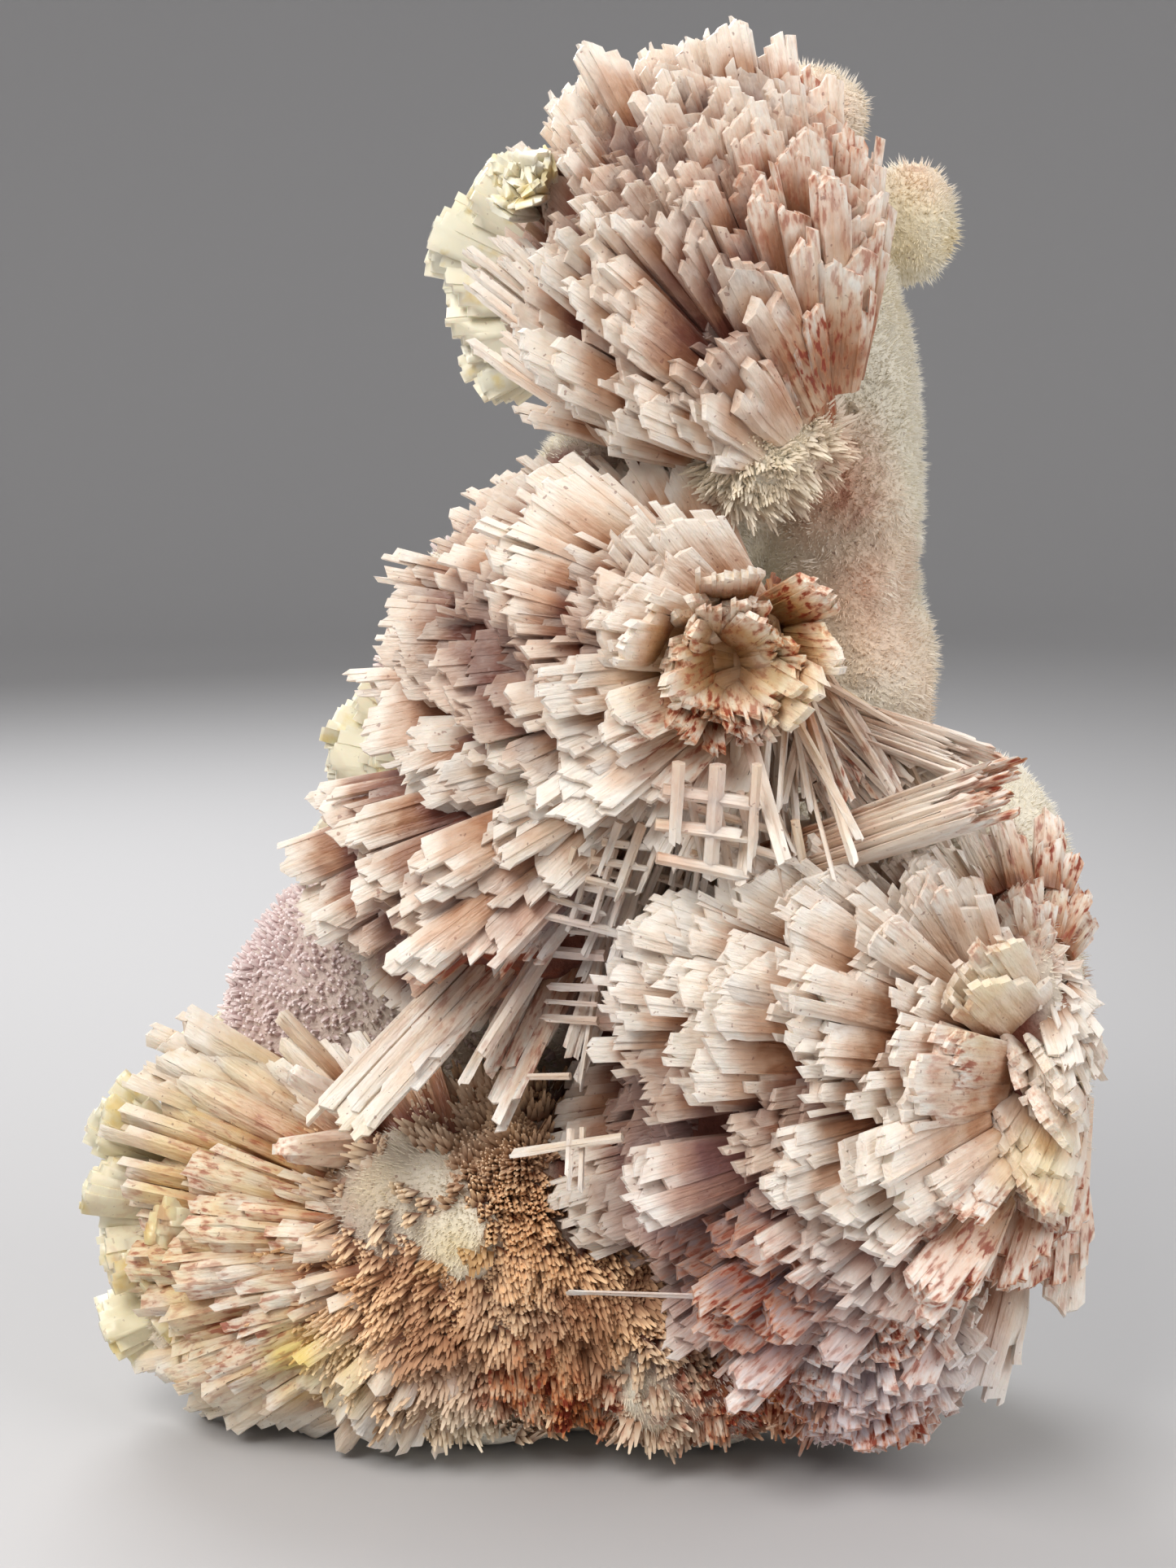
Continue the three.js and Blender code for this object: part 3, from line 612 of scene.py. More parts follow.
def slabs_of(plate):
    """The slabs a plate is made of: bundles side by side, each of a few sheets that lie on one another."""
    i, seed, split, layers = (plate[name] for name in ("i", "seed", "split", "layers"))
    lead = int(split * chance(i, seed + 17))
    slabs = []
    for b in range(split):
        own = i * 5 + b
        rest = 0 if b == lead else 0.8 + 3.0 * chance(own, seed + 18)
        turn = 0.3 * (chance(own, seed + 19) - 0.5) if split > 1 else 0
        for k in range(layers):
            key = i * 11 + b * 4 + k
            behind = 0 if k == 0 else 0.4 + 2.2 * chance(key, seed + 13)
            slabs.append(dict(key=key, x=(b + 0.5) / split - 0.5, z=(k + 0.5) / layers - 0.5, turn=turn,
                              width=(0.86 + 0.3 * chance(key, seed + 16)) / split, thick=1.2 / layers,
                              back=rest + behind, front=k == layers - 1))
    return slabs


def slab_grid(plate, slab, pitch, rows, tooth, crown):
    """A slab's places across, along and out from its plate's root, and how near its broken end they are."""
    seed, key, i = plate["seed"], slab["key"], plate["i"]
    wide = plate["width"] * slab["width"]
    laths = max(2, round(wide / pitch))
    lath = np.repeat(np.arange(laths), 2)
    cut = np.arange(laths + 1)
    cuts = (cut + CUT_SHAKE * (chance(cut + key * 3, seed + 21) - 0.5)) / laths
    cuts[0], cuts[-1] = 0, 1
    shares = np.stack([cuts[:-1], cuts[1:] - LATH_GAP / laths], axis=1).ravel()
    middles = np.repeat((cuts[:-1] + cuts[1:]) / 2, 2)
    peak = within(PEAK_RANGE, key, seed + 29)
    fall = np.where(middles < peak, within(FALL_RANGE, key, seed + 30), within(FALL_RANGE, key, seed + 32))
    outer = np.where(shares < middles, middles < peak, middles >= peak)
    ragged = chance(lath + key * 5, seed + 22)
    bundle = np.floor(middles * wide / BUNDLE_WIDTH + chance(key, seed + 35))
    lag = BUNDLE_LAG * chance(bundle + key * 17, seed + 36) ** 2
    slant = tooth * (0.15 + 0.7 * chance(lath + key * 7, seed + 23)) * outer
    drop = tooth * (1.3 * ragged ** 2 + 1.5 * (ragged > 0.9) + lag) + slant
    drop += plate.get("point", POINT) * fall * (abs(middles - peak) * wide) ** 1.4
    end = plate["length"] - slab["back"] - drop
    end = np.maximum(end, LEAST_LENGTH * plate["length"])
    along = rows[:, None] * end[None, :]
    taper = plate["root_share"] + (1 - plate["root_share"]) * rows[:, None] ** 0.8
    off = (shares - 0.5)[None, :] * wide * taper
    edge = 0.3 * tooth * (chance(np.arange(len(rows)) + key * 7, seed + 34) - 0.5)
    off[:, :2] += edge[:, None]
    share = along / plate["length"]
    bend = BEND * (chance(key, seed + 24) - 0.5) + 0.5 * BEND * (chance(i, seed + 25) - 0.5)
    twist = TWIST * (chance(i, seed + 26) - 0.5)
    rise = LATH_RISE * (chance(lath + key * 9, seed + 27) - 0.5)
    rise = rise + BUNDLE_RISE * (chance(bundle + key * 13, seed + 33) - 0.5)
    depth = slab["z"] * plate["thick"] * (0.6 + 0.5 * share) + bend * share ** 2
    depth = depth + twist * (shares - 0.5) * share + rise
    body = (1 - 0.6 * abs(2 * shares - 1) ** crown) * (1 - 0.45 * np.clip((rows[:, None] - 0.8) / 0.2, 0, 1))
    half = 0.5 * plate["thick"] * slab["thick"] * body
    cos, sin = math.cos(slab["turn"]), math.sin(slab["turn"])
    middle = slab["x"] * plate["width"] * taper
    sheets = []
    for z in (depth + half, depth - half):
        sheets.append(np.stack([middle + off * cos - z * sin, along, z * cos + off * sin], -1))
    tip = np.exp((along - end[None, :]) / plate.get("pale_end", PALE_END))
    tip[:, [0, -1]] = np.maximum(tip[:, [0, -1]], 0.5 * rows[:, None])
    return np.stack(sheets), np.stack([tip, tip])


def slab_faces(rows, columns):
    """The faces of a closed slab whose front and back are grids of rows by columns."""
    front = np.arange(rows * columns).reshape(rows, columns)
    back = front + rows * columns

    def strip(a, b, c, d):
        return np.stack([a.ravel(), b.ravel(), c.ravel(), d.ravel()], axis=1)

    return np.concatenate([
        strip(front[:-1, :-1], front[:-1, 1:], front[1:, 1:], front[1:, :-1]),
        strip(back[:-1, :-1], back[1:, :-1], back[1:, 1:], back[:-1, 1:]),
        strip(back[0, :-1], back[0, 1:], front[0, 1:], front[0, :-1]),
        strip(front[-1, :-1], front[-1, 1:], back[-1, 1:], back[-1, :-1]),
        strip(back[:-1, 0], front[:-1, 0], front[1:, 0], back[1:, 0]),
        strip(front[:-1, -1], back[:-1, -1], back[1:, -1], front[1:, -1]),
    ])


def plates_mesh(name, plates, pitch, tooth=1.0, crown=5, rust=1.0, sharp=SHARP_DEGREES):
    """One mesh of all the slabs of some plates, with what the milky material reads."""
    places, faces, grains = [], [], []
    values = {"shade": [], "tip": [], "recess_shade": [], "warm": []}
    count = 0
    for plate in plates:
        turn = np.stack([plate["across"], plate["way"], plate["normal"]])
        root = plate["end"] - plate["way"] * plate["length"]
        for slab in slabs_of(plate):
            rows = FRONT_ROWS if slab["front"] else BACK_ROWS
            grid, tip = slab_grid(plate, slab, pitch, rows, tooth, crown)
            local = grid.reshape(-1, 3)
            spots = root + local @ turn
            places.append(spots)
            faces.append(slab_faces(len(rows), grid.shape[2]) + count)
            grains.append(local + 40 * chance(slab["key"] + np.arange(3), plate["seed"] + 31))
            # Painted shade: a place is painted darker the farther in it lies within its spray's reach, darker
            # still in the painted-shade spots; a plate placed on its own is painted darker towards its root,
            # more so for a larger offset.
            if plate["reach"] and "sunk" not in plate:
                middle, radii = (np.array(each, float) for each in plate["reach"])
                out = np.linalg.norm((spots - middle) / radii, axis=1)
                values["recess_shade"].append(np.clip((0.98 - out) / 0.33 + 0.3 * glow(spots, PAINTED_SHADES), 0, 1))
            else:
                share = local[:, 1] / plate["length"]
                values["recess_shade"].append(np.clip(0.8 + plate.get("sunk", 0) - 1.4 * share, 0, 1))
            values["tip"].append(tip.ravel() * plate.get("white", 1))
            values["shade"].append(np.full(len(spots), chance(slab["key"], plate["seed"] + 18)))
            values["warm"].append(np.full(len(spots), plate["warmth"]))
            count += len(spots)
    places = np.concatenate(places)
    places[:, 2] = np.maximum(places[:, 2], LEAST_HEIGHT)
    mesh = bpy.data.meshes.new(name)
    mesh.from_pydata(metres(places).tolist(), [], np.concatenate(faces).tolist())
    attribute(mesh, "grain", "FLOAT_VECTOR", np.concatenate(grains))
    for label, parts in values.items():
        attribute(mesh, label, "FLOAT", np.concatenate(parts))
    attribute(mesh, "stain", "FLOAT", glow(places, STAINS) * rust)
    attribute(mesh, "yellow", "FLOAT", glow(places, YELLOWS))
    attribute(mesh, "lilac", "FLOAT", glow(places, LILACS))
    mesh.shade_smooth()
    mesh.set_sharp_from_angle(angle=math.radians(sharp))
    return link(bpy.data.objects.new(name, mesh))


def link(piece):
    """Puts a piece in the scene."""
    bpy.context.scene.collection.objects.link(piece)
    return piece


def attribute(mesh, name, kind, values):
    """Stores a value for each vertex."""
    stored = mesh.attributes.new(name, kind, "POINT")
    field = "vector" if kind == "FLOAT_VECTOR" else "value"
    stored.data.foreach_set(field, np.asarray(values, np.float32).ravel())


def socket_of(sockets, wanted):
    """A socket by its place, or the first one in use with that name."""
    if isinstance(wanted, int):
        return sockets[wanted]
    return next(s for s in sockets if s.name == wanted and s.enabled)


def add_node(tree, kind, inputs=None, **settings):
    """A node with its settings, and its inputs linked to sockets or set to values."""
    made = tree.nodes.new(kind)
    for name, value in settings.items():
        setattr(made, name, value)
    for name, value in (inputs or {}).items():
        socket = socket_of(made.inputs, name)
        if isinstance(value, bpy.types.NodeSocket):
            tree.links.new(value, socket)
        else:
            socket.default_value = value
    return made


def new_tree(name, inputs):
    """A geometry tree with a geometry in and out and the named number inputs."""
    tree = bpy.data.node_groups.new(name, "GeometryNodeTree")
    tree.interface.new_socket("Geometry", in_out="INPUT", socket_type="NodeSocketGeometry")
    for label, kind, default in inputs:
        made = tree.interface.new_socket(label, in_out="INPUT", socket_type="NodeSocket" + kind)
        if default is not None:
            made.default_value = default
    tree.interface.new_socket("Geometry", in_out="OUTPUT", socket_type="NodeSocketGeometry")
    return tree, tree.nodes.new("NodeGroupInput").outputs


def finish_tree(tree, geometry, material):
    """Realizes what the tree made, gives it its material and sends it out."""
    real = add_node(tree, "GeometryNodeRealizeInstances", {0: geometry})
    flat = add_node(tree, "GeometryNodeSetShadeSmooth", {"Geometry": real.outputs[0], "Shade Smooth": False})
    painted = add_node(tree, "GeometryNodeSetMaterial", {"Geometry": flat.outputs[0], "Material": material})
    add_node(tree, "NodeGroupOutput", {0: painted.outputs[0]})


def grown(name, source, tree, **values):
    """What a geometry tree makes of an object, as a plain mesh object of its own."""
    modifier = source.modifiers.new("Grow", "NODES")
    modifier.node_group = tree
    for item in tree.interface.items_tree:
        if item.in_out == "INPUT" and item.name in values:
            modifier[item.identifier] = values[item.name]
    source.update_tag()
    graph = bpy.context.evaluated_depsgraph_get()
    mesh = bpy.data.meshes.new_from_object(source.evaluated_get(graph))
    source.modifiers.remove(modifier)
    mesh.name = name
    return link(bpy.data.objects.new(name, mesh))


def product(tree, first, second):
    """The product of two numbers."""
    return add_node(tree, "ShaderNodeMath", {0: first, 1: second}, operation="MULTIPLY").outputs[0]


def added(tree, first, second):
    """The sum of two numbers."""
    return add_node(tree, "ShaderNodeMath", {0: first, 1: second}, operation="ADD").outputs[0]


def vector(tree, operation, first, second):
    """What an operation makes of a vector and another, or a number if it is to be scaled."""
    inputs = {0: first, "Scale" if operation == "SCALE" else 1: second}
    return add_node(tree, "ShaderNodeVectorMath", inputs, operation=operation).outputs[0]


def place_piece(piece, slot, *nodes):
    """Makes a finished piece part of the object."""
    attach(piece, BODY)
    if nodes:
        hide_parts(*nodes)
    return piece


def named(tree, name):
    """A number that the mesh stores for each vertex, in a geometry tree."""
    return add_node(tree, "GeometryNodeInputNamedAttribute", {"Name": name}, data_type="FLOAT").outputs[0]


def rod(root, tip, width, thick=None, face=(0, -1, 0.3)):
    """A single lath from a root to a tip, as a row for blade_of."""
    return root, tip, face, (width, thick or 0.8 * width)


def lattice_rods(row):
    """The laths of a square frame: uprights from its top corner down, and rungs across them."""
    corner, down, along, lath, pitch, uprights, rungs, reach = row
    corner, down, along = np.array(corner, float), unit(down), unit(along)
    face = unit(np.cross(down, along))
    rods = []
    for k in range(uprights):
        top = corner + along * pitch * k - down * 2.5 * chance(k, 61)
        rods.append(rod(top, top + down * reach * vary(0.2, k, 62), lath * vary(0.3, k, 74), lath, face))
    for k in range(rungs):
        start = corner + down * pitch * (k + 0.35 + 0.3 * chance(k, 63)) - along * lath * (1 + chance(k, 64))
        end = start + along * (pitch * (uprights - 1) * vary(0.2, k, 75) + 2.5 * lath)
        lift = face * lath * 0.45
        rods.append(rod(start - lift, end - lift + down * chance(k, 65), lath * 0.95, lath, face))
    return rods


def fan_rods(row, order):
    """Rods that fan out from a focus to an arc."""
    focus, first, last, count, width = row
    focus, first, last = (np.array(each, float) for each in (focus, first, last))
    rods = []
    for k in range(count):
        key = k + 50 * order
        share = (k + 0.8 * chance(key, 66)) / count
        tip = first + (last - first) * share
        tip[2] -= 4 * math.sin(math.pi * share)
        shake = np.array([chance(key, kind) - 0.5 for kind in (67, 68, 69)])
        root = focus + shake * (8, 6, 5)
        end = root + (tip + shake * (2, 6, 2) - root) * (0.55 + 0.5 * chance(key, 70))
        wide = width * (0.5 + chance(key, 72) ** 2 * 1.3)
        rods.append(rod(root, end, wide, min(wide, 0.9)))
    return rods


def all_rods():
    """The needles in the gaps, the square frames and the fans of rods, as plates of a single slab."""
    rods = [rod(*row) for row in NEEDLES]
    for row in LATTICES:
        rods += lattice_rods(row)
    pale = len(rods)
    for order, row in enumerate(ROD_FANS):
        rods += fan_rods(row, order)
    return [dict(blade_of(row, 500 + k), root_share=1, layers=1, split=1, warmth=0.2 + 0.8 * chance(k, 73),
                 sunk=-0.6 if k < pale else 0) for k, row in enumerate(rods)]


def sheaf_plates(spec, order):
    """The tablets of a stilbite node: a small fan of crowned tablets at each tip."""
    plates = []
    focus = np.array(spec["focus"], float)
    for t, tip in enumerate(spec["tips"]):
        way = unit(np.array(tip, float) - focus)
        root = np.array(tip, float) - way * spec["length"]
        side = unit(np.cross(way, spec["face"]))
        normal = np.cross(side, way)
        for k in range(SHEAF_TABLETS):
            key = t * 10 + k
            lean = math.radians(SHEAF_FAN) * (k - (SHEAF_TABLETS - 1) / 2)
            turn = math.radians(16) * (chance(key, 80 + order) - 0.5)
            leant = unit(way + normal * math.tan(lean) + side * math.tan(turn))
            length = spec["length"] * (0.97 - 0.13 * chance(key, 81 + order))
            width, thick = spec["size"]
            plates.append(plate_at(
                root + leant * length, leant, np.array(spec["face"], float), seed=90 + order, i=key,
                length=length, width=width * (0.7 + 0.3 * chance(key, 82)), root_share=0.7,
                thick=thick / SHEAF_TABLETS * 1.7, warmth=0.0, reach=None, layers=1, split=1))
    return plates


def shader(name):
    """A new material, its node tree and its surface shader."""
    material = bpy.data.materials.new(name)
    material.use_nodes = True
    return material, material.node_tree, material.node_tree.nodes["Principled BSDF"]


def mapped(tree, value, low, high, to_low=0.0, to_high=1.0):
    """A number moved from one range to another and kept within it."""
    return add_node(tree, "ShaderNodeMapRange", {
        0: value, 1: low, 2: high, 3: to_low, 4: to_high}, clamp=True).outputs[0]


def mixed(tree, share, first, second):
    """A share of the second colour over the first."""
    return add_node(tree, "ShaderNodeMix", {0: share, 6: first, 7: second}, data_type="RGBA").outputs[2]


def value_of(tree, name):
    """A number that the mesh stores for each vertex, in a material."""
    return add_node(tree, "ShaderNodeAttribute", attribute_name=name).outputs["Fac"]


def noise_at(tree, scale, detail=3.0, place=None):
    """Noise of so many swells to a metre, or at the place given."""
    inputs = {"Scale": scale, "Detail": detail}
    inputs["Vector"] = place or add_node(tree, "ShaderNodeTexCoord").outputs["Object"]
    return add_node(tree, "ShaderNodeTexNoise", inputs).outputs[0]


def rgb(red, green, blue):
    """A colour as a socket takes it."""
    return (red, green, blue, 1.0)


def paint(name):
    """A colour of the panel, as a socket takes it."""
    return rgb(*getattr(bpy.context.scene.mordenite_colours, name))


def stained(tree, colour, amount=1.0, grain=None):
    """A colour with ochre, rust and fine dark specks over it, where the piece's own values ask for them."""
    cloud = mapped(tree, noise_at(tree, 150.0, 1.0), 0.3, 0.6, 0.2, 0.8)
    colour = mixed(tree, product(tree, value_of(tree, "yellow"), cloud), colour, paint("ochre"))
    patch = noise_at(tree, 1.0, 4.0, grain) if grain else noise_at(tree, 620.0, 4.0)
    stain = value_of(tree, "stain")
    if grain:
        rim = added(tree, value_of(tree, "tip"), value_of(tree, "recess_shade"))
        stain = product(tree, stain, mapped(tree, rim, 0.0, 0.6, 0.35, 1.15))
    edge = product(tree, value_of(tree, "tip"), mapped(tree, patch, 0.40, 0.52, 0.0, 0.8 * amount))
    colour = mixed(tree, product(tree, stain, edge), colour, paint("orange"))
    wide = product(tree, stain, mapped(tree, patch, 0.44, 0.62, 0.0, 0.6 * amount))
    colour = mixed(tree, wide, colour, paint("orange"))
    narrow = product(tree, stain, mapped(tree, patch, 0.54, 0.63, 0.0, 1.4 * amount))
    colour = mixed(tree, narrow, colour, paint("rust"))
    speck = mapped(tree, noise_at(tree, 1700.0, 1.0), 0.71, 0.75, 0.0, 0.55 * amount)
    return mixed(tree, speck, colour, paint("speck"))


def milky(surface, weight, scale):
    """Lets light into a surface, farthest in red."""
    surface.inputs["Subsurface Weight"].default_value = weight
    surface.inputs["Subsurface Radius"].default_value = (1.0, 0.62, 0.45)
    surface.inputs["Subsurface Scale"].default_value = scale


def grain_at(tree, *scale):
    """A place along a plate's own grain, in millimetres: across it, along it and out of it, each scaled."""
    grain = add_node(tree, "ShaderNodeAttribute", attribute_name="grain").outputs["Vector"]
    return add_node(tree, "ShaderNodeMapping", {0: grain, 3: scale}).outputs[0]


def bumped(tree, surface, height, strength, distance):
    """Gives a surface a fine relief."""
    bump = add_node(tree, "ShaderNodeBump", {"Height": height, "Strength": strength, "Distance": distance})
    tree.links.new(bump.outputs[0], surface.inputs["Normal"])


def plate_material():
    """Milky sheets: brownish and mauvish painted shade in the depths, cream and peach on the flats, white at
    the broken end.
    """
    material, tree, surface = shader("milky_mordenite")
    streak = noise_at(tree, 1.0, 2.0, grain_at(tree, 1.3, 0.14, 1.3))
    body = mixed(tree, value_of(tree, "warm"), paint("cream"), paint("honey"))
    blush = product(tree, value_of(tree, "shade"), mapped(tree, noise_at(tree, 130.0, 1.0), 0.35, 0.62))
    body = mixed(tree, blush, body, paint("peach"))
    body = mixed(tree, mapped(tree, noise_at(tree, 75.0, 1.0), 0.48, 0.66, 0.0, 0.5), body, paint("dusk"))
    body = mixed(tree, mapped(tree, streak, 0.42, 0.68, 0.0, 0.4), body, paint("milk"))
    body = mixed(tree, product(tree, value_of(tree, "lilac"), 0.85), body, paint("lilac"))
    # Painted shade: darker, then darkest, the farther in a place lies, with less white at the end there.
    cloud = mapped(tree, noise_at(tree, 260.0, 2.0), 0.3, 0.7, -0.16, 0.16)
    recess_shade = added(tree, value_of(tree, "recess_shade"), cloud)
    body = mixed(tree, mapped(tree, recess_shade, 0.15, 0.62), body, paint("brown_and_shade"))
    body = mixed(tree, mapped(tree, recess_shade, 0.52, 0.95), body, paint("shade_mauve"))
    shown = mapped(tree, value_of(tree, "recess_shade"), 0.3, 0.85, 1.0, 0.25)
    white = product(tree, mapped(tree, value_of(tree, "tip"), 0.04, 0.5), shown)
    white = product(tree, white, mapped(tree, noise_at(tree, 500.0, 1.0), 0.3, 0.6, 0.55, 0.95))
    colour = mixed(tree, white, body, paint("milk"))
    colour = mixed(tree, product(tree, value_of(tree, "lilac"), 0.5), colour, paint("haze"))
    colour = stained(tree, colour, grain=grain_at(tree, 1.7, 0.5, 1.7))
    tree.links.new(colour, surface.inputs["Base Color"])
    fine = noise_at(tree, 1.0, 2.0, grain_at(tree, 3.2, 1.1, 3.2))
    lines = noise_at(tree, 1.0, 1.0, grain_at(tree, 3.0, 0.12, 3.0))
    bumped(tree, surface, added(tree, fine, lines), 0.5, 0.0003)
    tree.links.new(mapped(tree, fine, 0.3, 0.7, 0.34, 0.6), surface.inputs["Roughness"])
    milky(surface, 0.25, 0.0026)
    surface.inputs["IOR"].default_value = 1.48
    return material


def stilbite_material():
    """Pale yellow-green stilbite, cloudy and waxy."""
    material, tree, surface = shader("pale_stilbite")
    cloud = noise_at(tree, 140.0, 4.0)
    colour = mixed(tree, cloud, paint("stilbite"), paint("stilbite_pale"))
    spot = mapped(tree, noise_at(tree, 300.0, 5.0), 0.56, 0.68, 0.0, 0.7)
    colour = mixed(tree, spot, colour, paint("ochre"))
    tree.links.new(stained(tree, colour, 0.5), surface.inputs["Base Color"])
    bumped(tree, surface, noise_at(tree, 700.0, 4.0), 0.3, 0.0003)
    surface.inputs["Roughness"].default_value = 0.3
    milky(surface, 0.3, 0.0025)
    surface.inputs["IOR"].default_value = 1.5
    return material


def core_material():
    """The ground under the needles: felt, velvet root or druse, by the piece's own values, and painted shade
    far inside a spray.
    """
    material, tree, surface = shader("mordenite_ground")
    cloudy = noise_at(tree, 260.0, 5.0)
    felt = mixed(tree, cloudy, rgb(0.80, 0.73, 0.58), rgb(0.92, 0.88, 0.77))
    felt = mixed(tree, product(tree, value_of(tree, "blush"), 0.8), felt, paint("peach"))
    velvet = mixed(tree, cloudy, rgb(0.20, 0.08, 0.04), rgb(0.46, 0.24, 0.13))
    druse = mixed(tree, cloudy, rgb(0.46, 0.32, 0.31), rgb(0.76, 0.61, 0.58))
    colour = mixed(tree, value_of(tree, "druse"), felt, druse)
    colour = mixed(tree, value_of(tree, "velvet"), colour, velvet)
    # Painted shade: dark where the ground lies far inside a spray or in the bare places.
    colour = mixed(tree, value_of(tree, "hollow"), colour, paint("shade_mauve"))
    tree.links.new(stained(tree, colour), surface.inputs["Base Color"])
    bumped(tree, surface, noise_at(tree, 1500.0, 6.0), 0.9, 0.0006)
    surface.inputs["Roughness"].default_value = 0.85
    return material


def fibre_material(name, kind, blend_from, blend_to, shaded=0.0):
    """Fine needles that go from their kind's root colour to its tip colour."""
    material, tree, surface = shader(name)
    share = mapped(tree, value_of(tree, "tip"), blend_from, blend_to)
    colour = mixed(tree, share, paint(kind + "_root"), paint(kind + "_tip"))
    shade = mapped(tree, noise_at(tree, 110.0, 1.0), 0.46, 0.62, 0.0, shaded)
    colour = mixed(tree, shade, colour, paint("brown_and_shade"))
    tint = mapped(tree, noise_at(tree, 150.0, 1.0), 0.3, 0.6, 0.2, 1.0)
    colour = mixed(tree, product(tree, value_of(tree, "blush"), tint), colour, paint("peach"))
    light = product(tree, value_of(tree, "pale"), mapped(tree, value_of(tree, "tip"), 0.1, 0.7, 0.2, 0.9))
    colour = mixed(tree, light, colour, paint("pale"))
    colour = mixed(tree, product(tree, value_of(tree, "lilac"), 0.35), colour, paint("lilac"))
    tree.links.new(stained(tree, colour, 0.6), surface.inputs["Base Color"])
    surface.inputs["Roughness"].default_value = 0.7
    return material


def needle_tree(tuft):
    """Spreads tapering needles, or tufts of them, over a surface where a named value of it is high."""
    tree, given = new_tree("Needles", [
        ("Density", "Float", 1.0), ("Length", "Float", 0.002), ("Width", "Float", 0.0002),
        ("Lean", "Float", 0.5), ("Sides", "Int", 3), ("Blunt", "Float", 0.0), ("Least", "Float", 0.55),
        ("Cover", "String", "felt"), ("Seed", "Int", 0), ("Material", "Material", None),
    ])
    amount = product(tree, named(tree, given["Cover"]), given["Density"])
    spots = add_node(tree, "GeometryNodeDistributePointsOnFaces", {
        "Mesh": given["Geometry"], "Density": amount, "Seed": given["Seed"]}, distribute_method="RANDOM")
    cone = add_node(tree, "GeometryNodeMeshCone", {
        "Vertices": given["Sides"], "Side Segments": 1, "Radius Top": given["Blunt"], "Radius Bottom": 0.5,
        "Depth": 1.0}, fill_type="NGON")
    spot = add_node(tree, "GeometryNodeInputPosition").outputs[0]
    height = add_node(tree, "ShaderNodeSeparateXYZ", {0: spot}).outputs[2]
    kept = add_node(tree, "GeometryNodeStoreNamedAttribute", {
        "Geometry": cone.outputs[0], "Name": "tip", "Value": height}, data_type="FLOAT", domain="POINT")
    bunch = add_node(tree, "GeometryNodeJoinGeometry")
    for tall, lean, place in tuft:
        strand = add_node(tree, "GeometryNodeTransform", {
            "Geometry": kept.outputs[0], "Translation": (*place, 0), "Rotation": (*lean, 0),
            "Scale": (1, 1, tall)})
        tree.links.new(strand.outputs[0], bunch.inputs[0])
    sway = add_node(tree, "ShaderNodeTexNoise", {"Vector": spot, "Scale": 330.0, "Detail": 2.0})
    swung = vector(tree, "SCALE", vector(tree, "SUBTRACT", sway.outputs[1], (0.5, 0.5, 0.5)), 4.0)
    stray = add_node(tree, "FunctionNodeRandomValue", {
        0: (-0.5, -0.5, -0.5), 1: (0.5, 0.5, 0.5), "Seed": given["Seed"]}, data_type="FLOAT_VECTOR")
    leant = vector(tree, "SCALE", vector(tree, "ADD", swung, stray.outputs[0]), given["Lean"])
    combed = {k: named(tree, "comb_" + axis) for k, axis in enumerate("xyz")}
    comb = add_node(tree, "ShaderNodeCombineXYZ", combed).outputs[0]
    aimed = vector(tree, "ADD", spots.outputs["Normal"], vector(tree, "ADD", leant, comb))
    turned = add_node(tree, "FunctionNodeAlignRotationToVector", {"Vector": aimed}, axis="Z")
    tall = add_node(tree, "FunctionNodeRandomValue", {
        2: 0.55, 3: 1.0, "Seed": given["Seed"]}, data_type="FLOAT")
    clumps = add_node(tree, "ShaderNodeTexNoise", {"Vector": spot, "Scale": 520.0, "Detail": 1.0})
    clump = add_node(tree, "ShaderNodeMapRange", {
        0: clumps.outputs[0], 1: 0.4, 2: 0.6, 3: given["Least"], 4: 1.2})
    length = product(tree, product(tree, tall.outputs[1], clump.outputs[0]), given["Length"])
    size = add_node(tree, "ShaderNodeCombineXYZ", {0: given["Width"], 1: given["Width"], 2: length})
    stood = add_node(tree, "GeometryNodeInstanceOnPoints", {
        "Points": spots.outputs["Points"], "Instance": bunch.outputs[0], "Rotation": turned.outputs[0],
        "Scale": size.outputs[0]})
    finish_tree(tree, stood.outputs[0], given["Material"])
    return tree


def core_mesh():
    """The lumps and the sprays' hearts, without their fur, grown together into one skin."""
    shape = bmesh.new()
    rounds = [(middle, np.array(radii) - FUR_DEPTH) for middle, radii in LUMPS.values()]
    rounds += [(s["reach"][0], np.array(s["reach"][1]) * HEART_SHARE) for s in SPRAYS.values()]
    for middle, radii in rounds:
        turn = Matrix.LocRotScale(Vector(metres(middle)), None, Vector(radii * MM))
        bmesh.ops.create_icosphere(shape, subdivisions=4, radius=1, matrix=turn)
    mesh = bpy.data.meshes.new("core")
    shape.to_mesh(mesh)
    shape.free()
    core = link(bpy.data.objects.new("mordenite_ground", mesh))
    remesh = core.modifiers.new("Remesh", "REMESH")
    remesh.mode, remesh.voxel_size = "VOXEL", SKIN_CELL
    core.modifiers.new("Smooth", "SMOOTH").iterations = SKIN_SMOOTHINGS
    graph = bpy.context.evaluated_depsgraph_get()
    made = bpy.data.meshes.new_from_object(core.evaluated_get(graph))
    core.modifiers.clear()
    core.data = made
    return core


def vertex_values(mesh, name):
    """A vector of each vertex, as rows."""
    values = np.zeros(len(mesh.vertices) * 3, np.float32)
    mesh.vertices.foreach_get(name, values)
    return values.reshape(-1, 3).astype(float)


